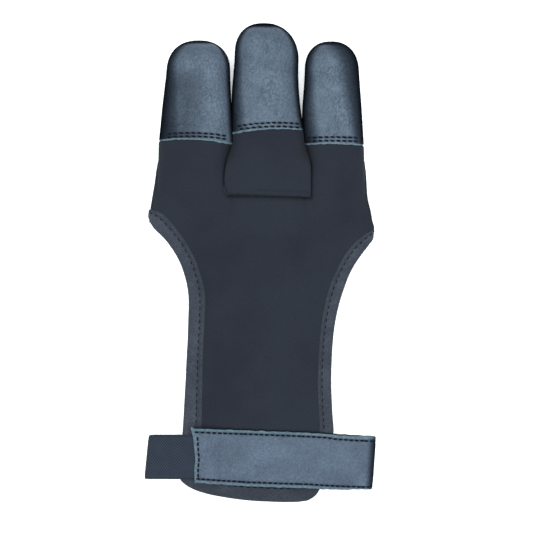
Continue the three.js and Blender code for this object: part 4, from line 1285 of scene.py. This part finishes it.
from_turn = elastic_outer[..., 0] - elastic_outer[..., 0].min(axis=0)
selvedge = SELVEDGE_SHADE * ridge(ELASTIC_HALF - np.abs(elastic_b), SELVEDGE_FADE)
dark = np.maximum(TURN_SHADE * (1 - step(*TURN_REACH, from_turn)), selvedge)
webbing = wall("elastic_strap", elastic_outer, elastic_inner, elastic, marks={"shade": dark})
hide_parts("strap_webbing")

# Hook and loop pad
# A plain felted pad between the two strap ends under the wrist, out of sight in the photograph.
# It is sewn to the leather, flat, with softly rounded edges.
PAD_LEFT = -5.2
PAD_RIGHT = 21.4
PAD_NEAR = -95.3
PAD_FAR = -79.5
PAD_LOW = 1.75
PAD_HIGH = 2.52
PAD_LIP = 0.3
PAD_LIP_REACH = 0.8
PAD_COLUMNS = 55
PAD_ROWS = 33
NAP_HEIGHT = 0.06
NAP_SIZE = 1.2
NAP_REACH = 1
NAP = 0.5
NAP_RELIEF = 0.25


def felt_material():
    """Felted loop pad: very dull, with a short uneven nap."""
    material, tree = empty_material("felted_loop_pad")
    nap = pattern(tree, NAP, 3.0)
    shader = node(tree, "BsdfPrincipled", {
        "Base Color": layered(tree, colour("#12161d"), [(nap, colour("#2a313c"))]),
        "Roughness": 1.0, "Specular IOR Level": 0.1,
        "Normal": node(tree, "Bump", {"Height": nap, "Distance": NAP_RELIEF * MM, "Strength": 0.8}),
    })
    node(tree, "OutputMaterial", {"Surface": shader})
    return material


pad_x, pad_y = np.meshgrid(
    np.linspace(PAD_LEFT, PAD_RIGHT, PAD_COLUMNS), np.linspace(PAD_NEAR, PAD_FAR, PAD_ROWS),
)
pad_flat = np.stack([pad_x, pad_y, np.zeros_like(pad_x)], -1)
to_edge = np.minimum.reduce([pad_x - PAD_LEFT, PAD_RIGHT - pad_x, pad_y - PAD_NEAR, PAD_FAR - pad_y])
pad_lip = PAD_LIP * (1 - step(0, PAD_LIP_REACH, to_edge))
nap_height = NAP_HEIGHT * rumple(pad_flat, NAP_SIZE, 4) * step(0, NAP_REACH, to_edge)
pad_outer = np.stack([pad_x, pad_y, PAD_HIGH - pad_lip + nap_height], -1)
pad_inner = np.stack([pad_x, pad_y, PAD_LOW + pad_lip], -1)
fastener = wall("hook_and_loop_patch", pad_outer, pad_inner, felt_material())
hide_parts("strap_fastener")

# Studio
# Plain pale floor, one large soft light overhead with a cool tint and a dim pale room around it.
# The camera looks straight down through a long lens, as the photograph does.
FLOOR_SIZE = 12.0
FLOOR_LEVEL = -0.0001
FLOOR_GLOW = 0.3
LIGHT_SIZE = 2.8
LIGHT_HEIGHT = 2.5
LIGHT_POWER = 185.0
LIGHT_TINT = (0.90, 0.97, 1.0)
ROOM = 0.35
ROOM_TINT = (0.93, 0.97, 1.0, 1)
FRAME_WIDTH = 239.85
FRAME_CENTRE = (2.57, -1.69)
FRAME_LEVEL = 8.0
CAMERA_DISTANCE = 2.0
CAMERA_REACH = 20
SENSOR = 36.0

floor_mesh = bpy.data.meshes.new("floor")
reach = FLOOR_SIZE / 2
corners = [(x * reach, y * reach, FLOOR_LEVEL) for x, y in ((-1, -1), (1, -1), (1, 1), (-1, 1))]
floor_mesh.from_pydata(corners, [], [(0, 1, 2, 3)])
floor = bpy.data.objects.new("floor", floor_mesh)
bpy.context.scene.collection.objects.link(floor)
paper, paper_tree = empty_material("white_paper")
paper_shader = node(paper_tree, "BsdfPrincipled", {
    "Base Color": colour("#f1f1f1"), "Roughness": 0.9, "Specular IOR Level": 0.0,
    "Emission Color": colour("#ffffff"), "Emission Strength": FLOOR_GLOW,
})
node(paper_tree, "OutputMaterial", {"Surface": paper_shader})
floor_mesh.materials.append(paper)

lamp = bpy.data.lights.new("overhead", "AREA")
lamp.shape = "SQUARE"
lamp.size = LIGHT_SIZE
lamp.energy = LIGHT_POWER
lamp.color = LIGHT_TINT
lamp_object = bpy.data.objects.new("overhead", lamp)
lamp_object.location = (0, 0, LIGHT_HEIGHT)
bpy.context.scene.collection.objects.link(lamp_object)

world = bpy.data.worlds.new("room")
world.use_nodes = True
world.node_tree.nodes["Background"].inputs["Color"].default_value = ROOM_TINT
world.node_tree.nodes["Background"].inputs["Strength"].default_value = ROOM
bpy.context.scene.world = world
bpy.context.scene.view_settings.view_transform = "Standard"

camera_data = bpy.data.cameras.new("camera")
camera_data.sensor_width = SENSOR
camera_data.lens = SENSOR * CAMERA_DISTANCE / (FRAME_WIDTH * MM)
camera_data.clip_end = CAMERA_REACH
camera = bpy.data.objects.new("camera", camera_data)
camera.location = (FRAME_CENTRE[0] * MM, FRAME_CENTRE[1] * MM, CAMERA_DISTANCE + FRAME_LEVEL * MM)
bpy.context.scene.collection.objects.link(camera)
bpy.context.scene.camera = camera
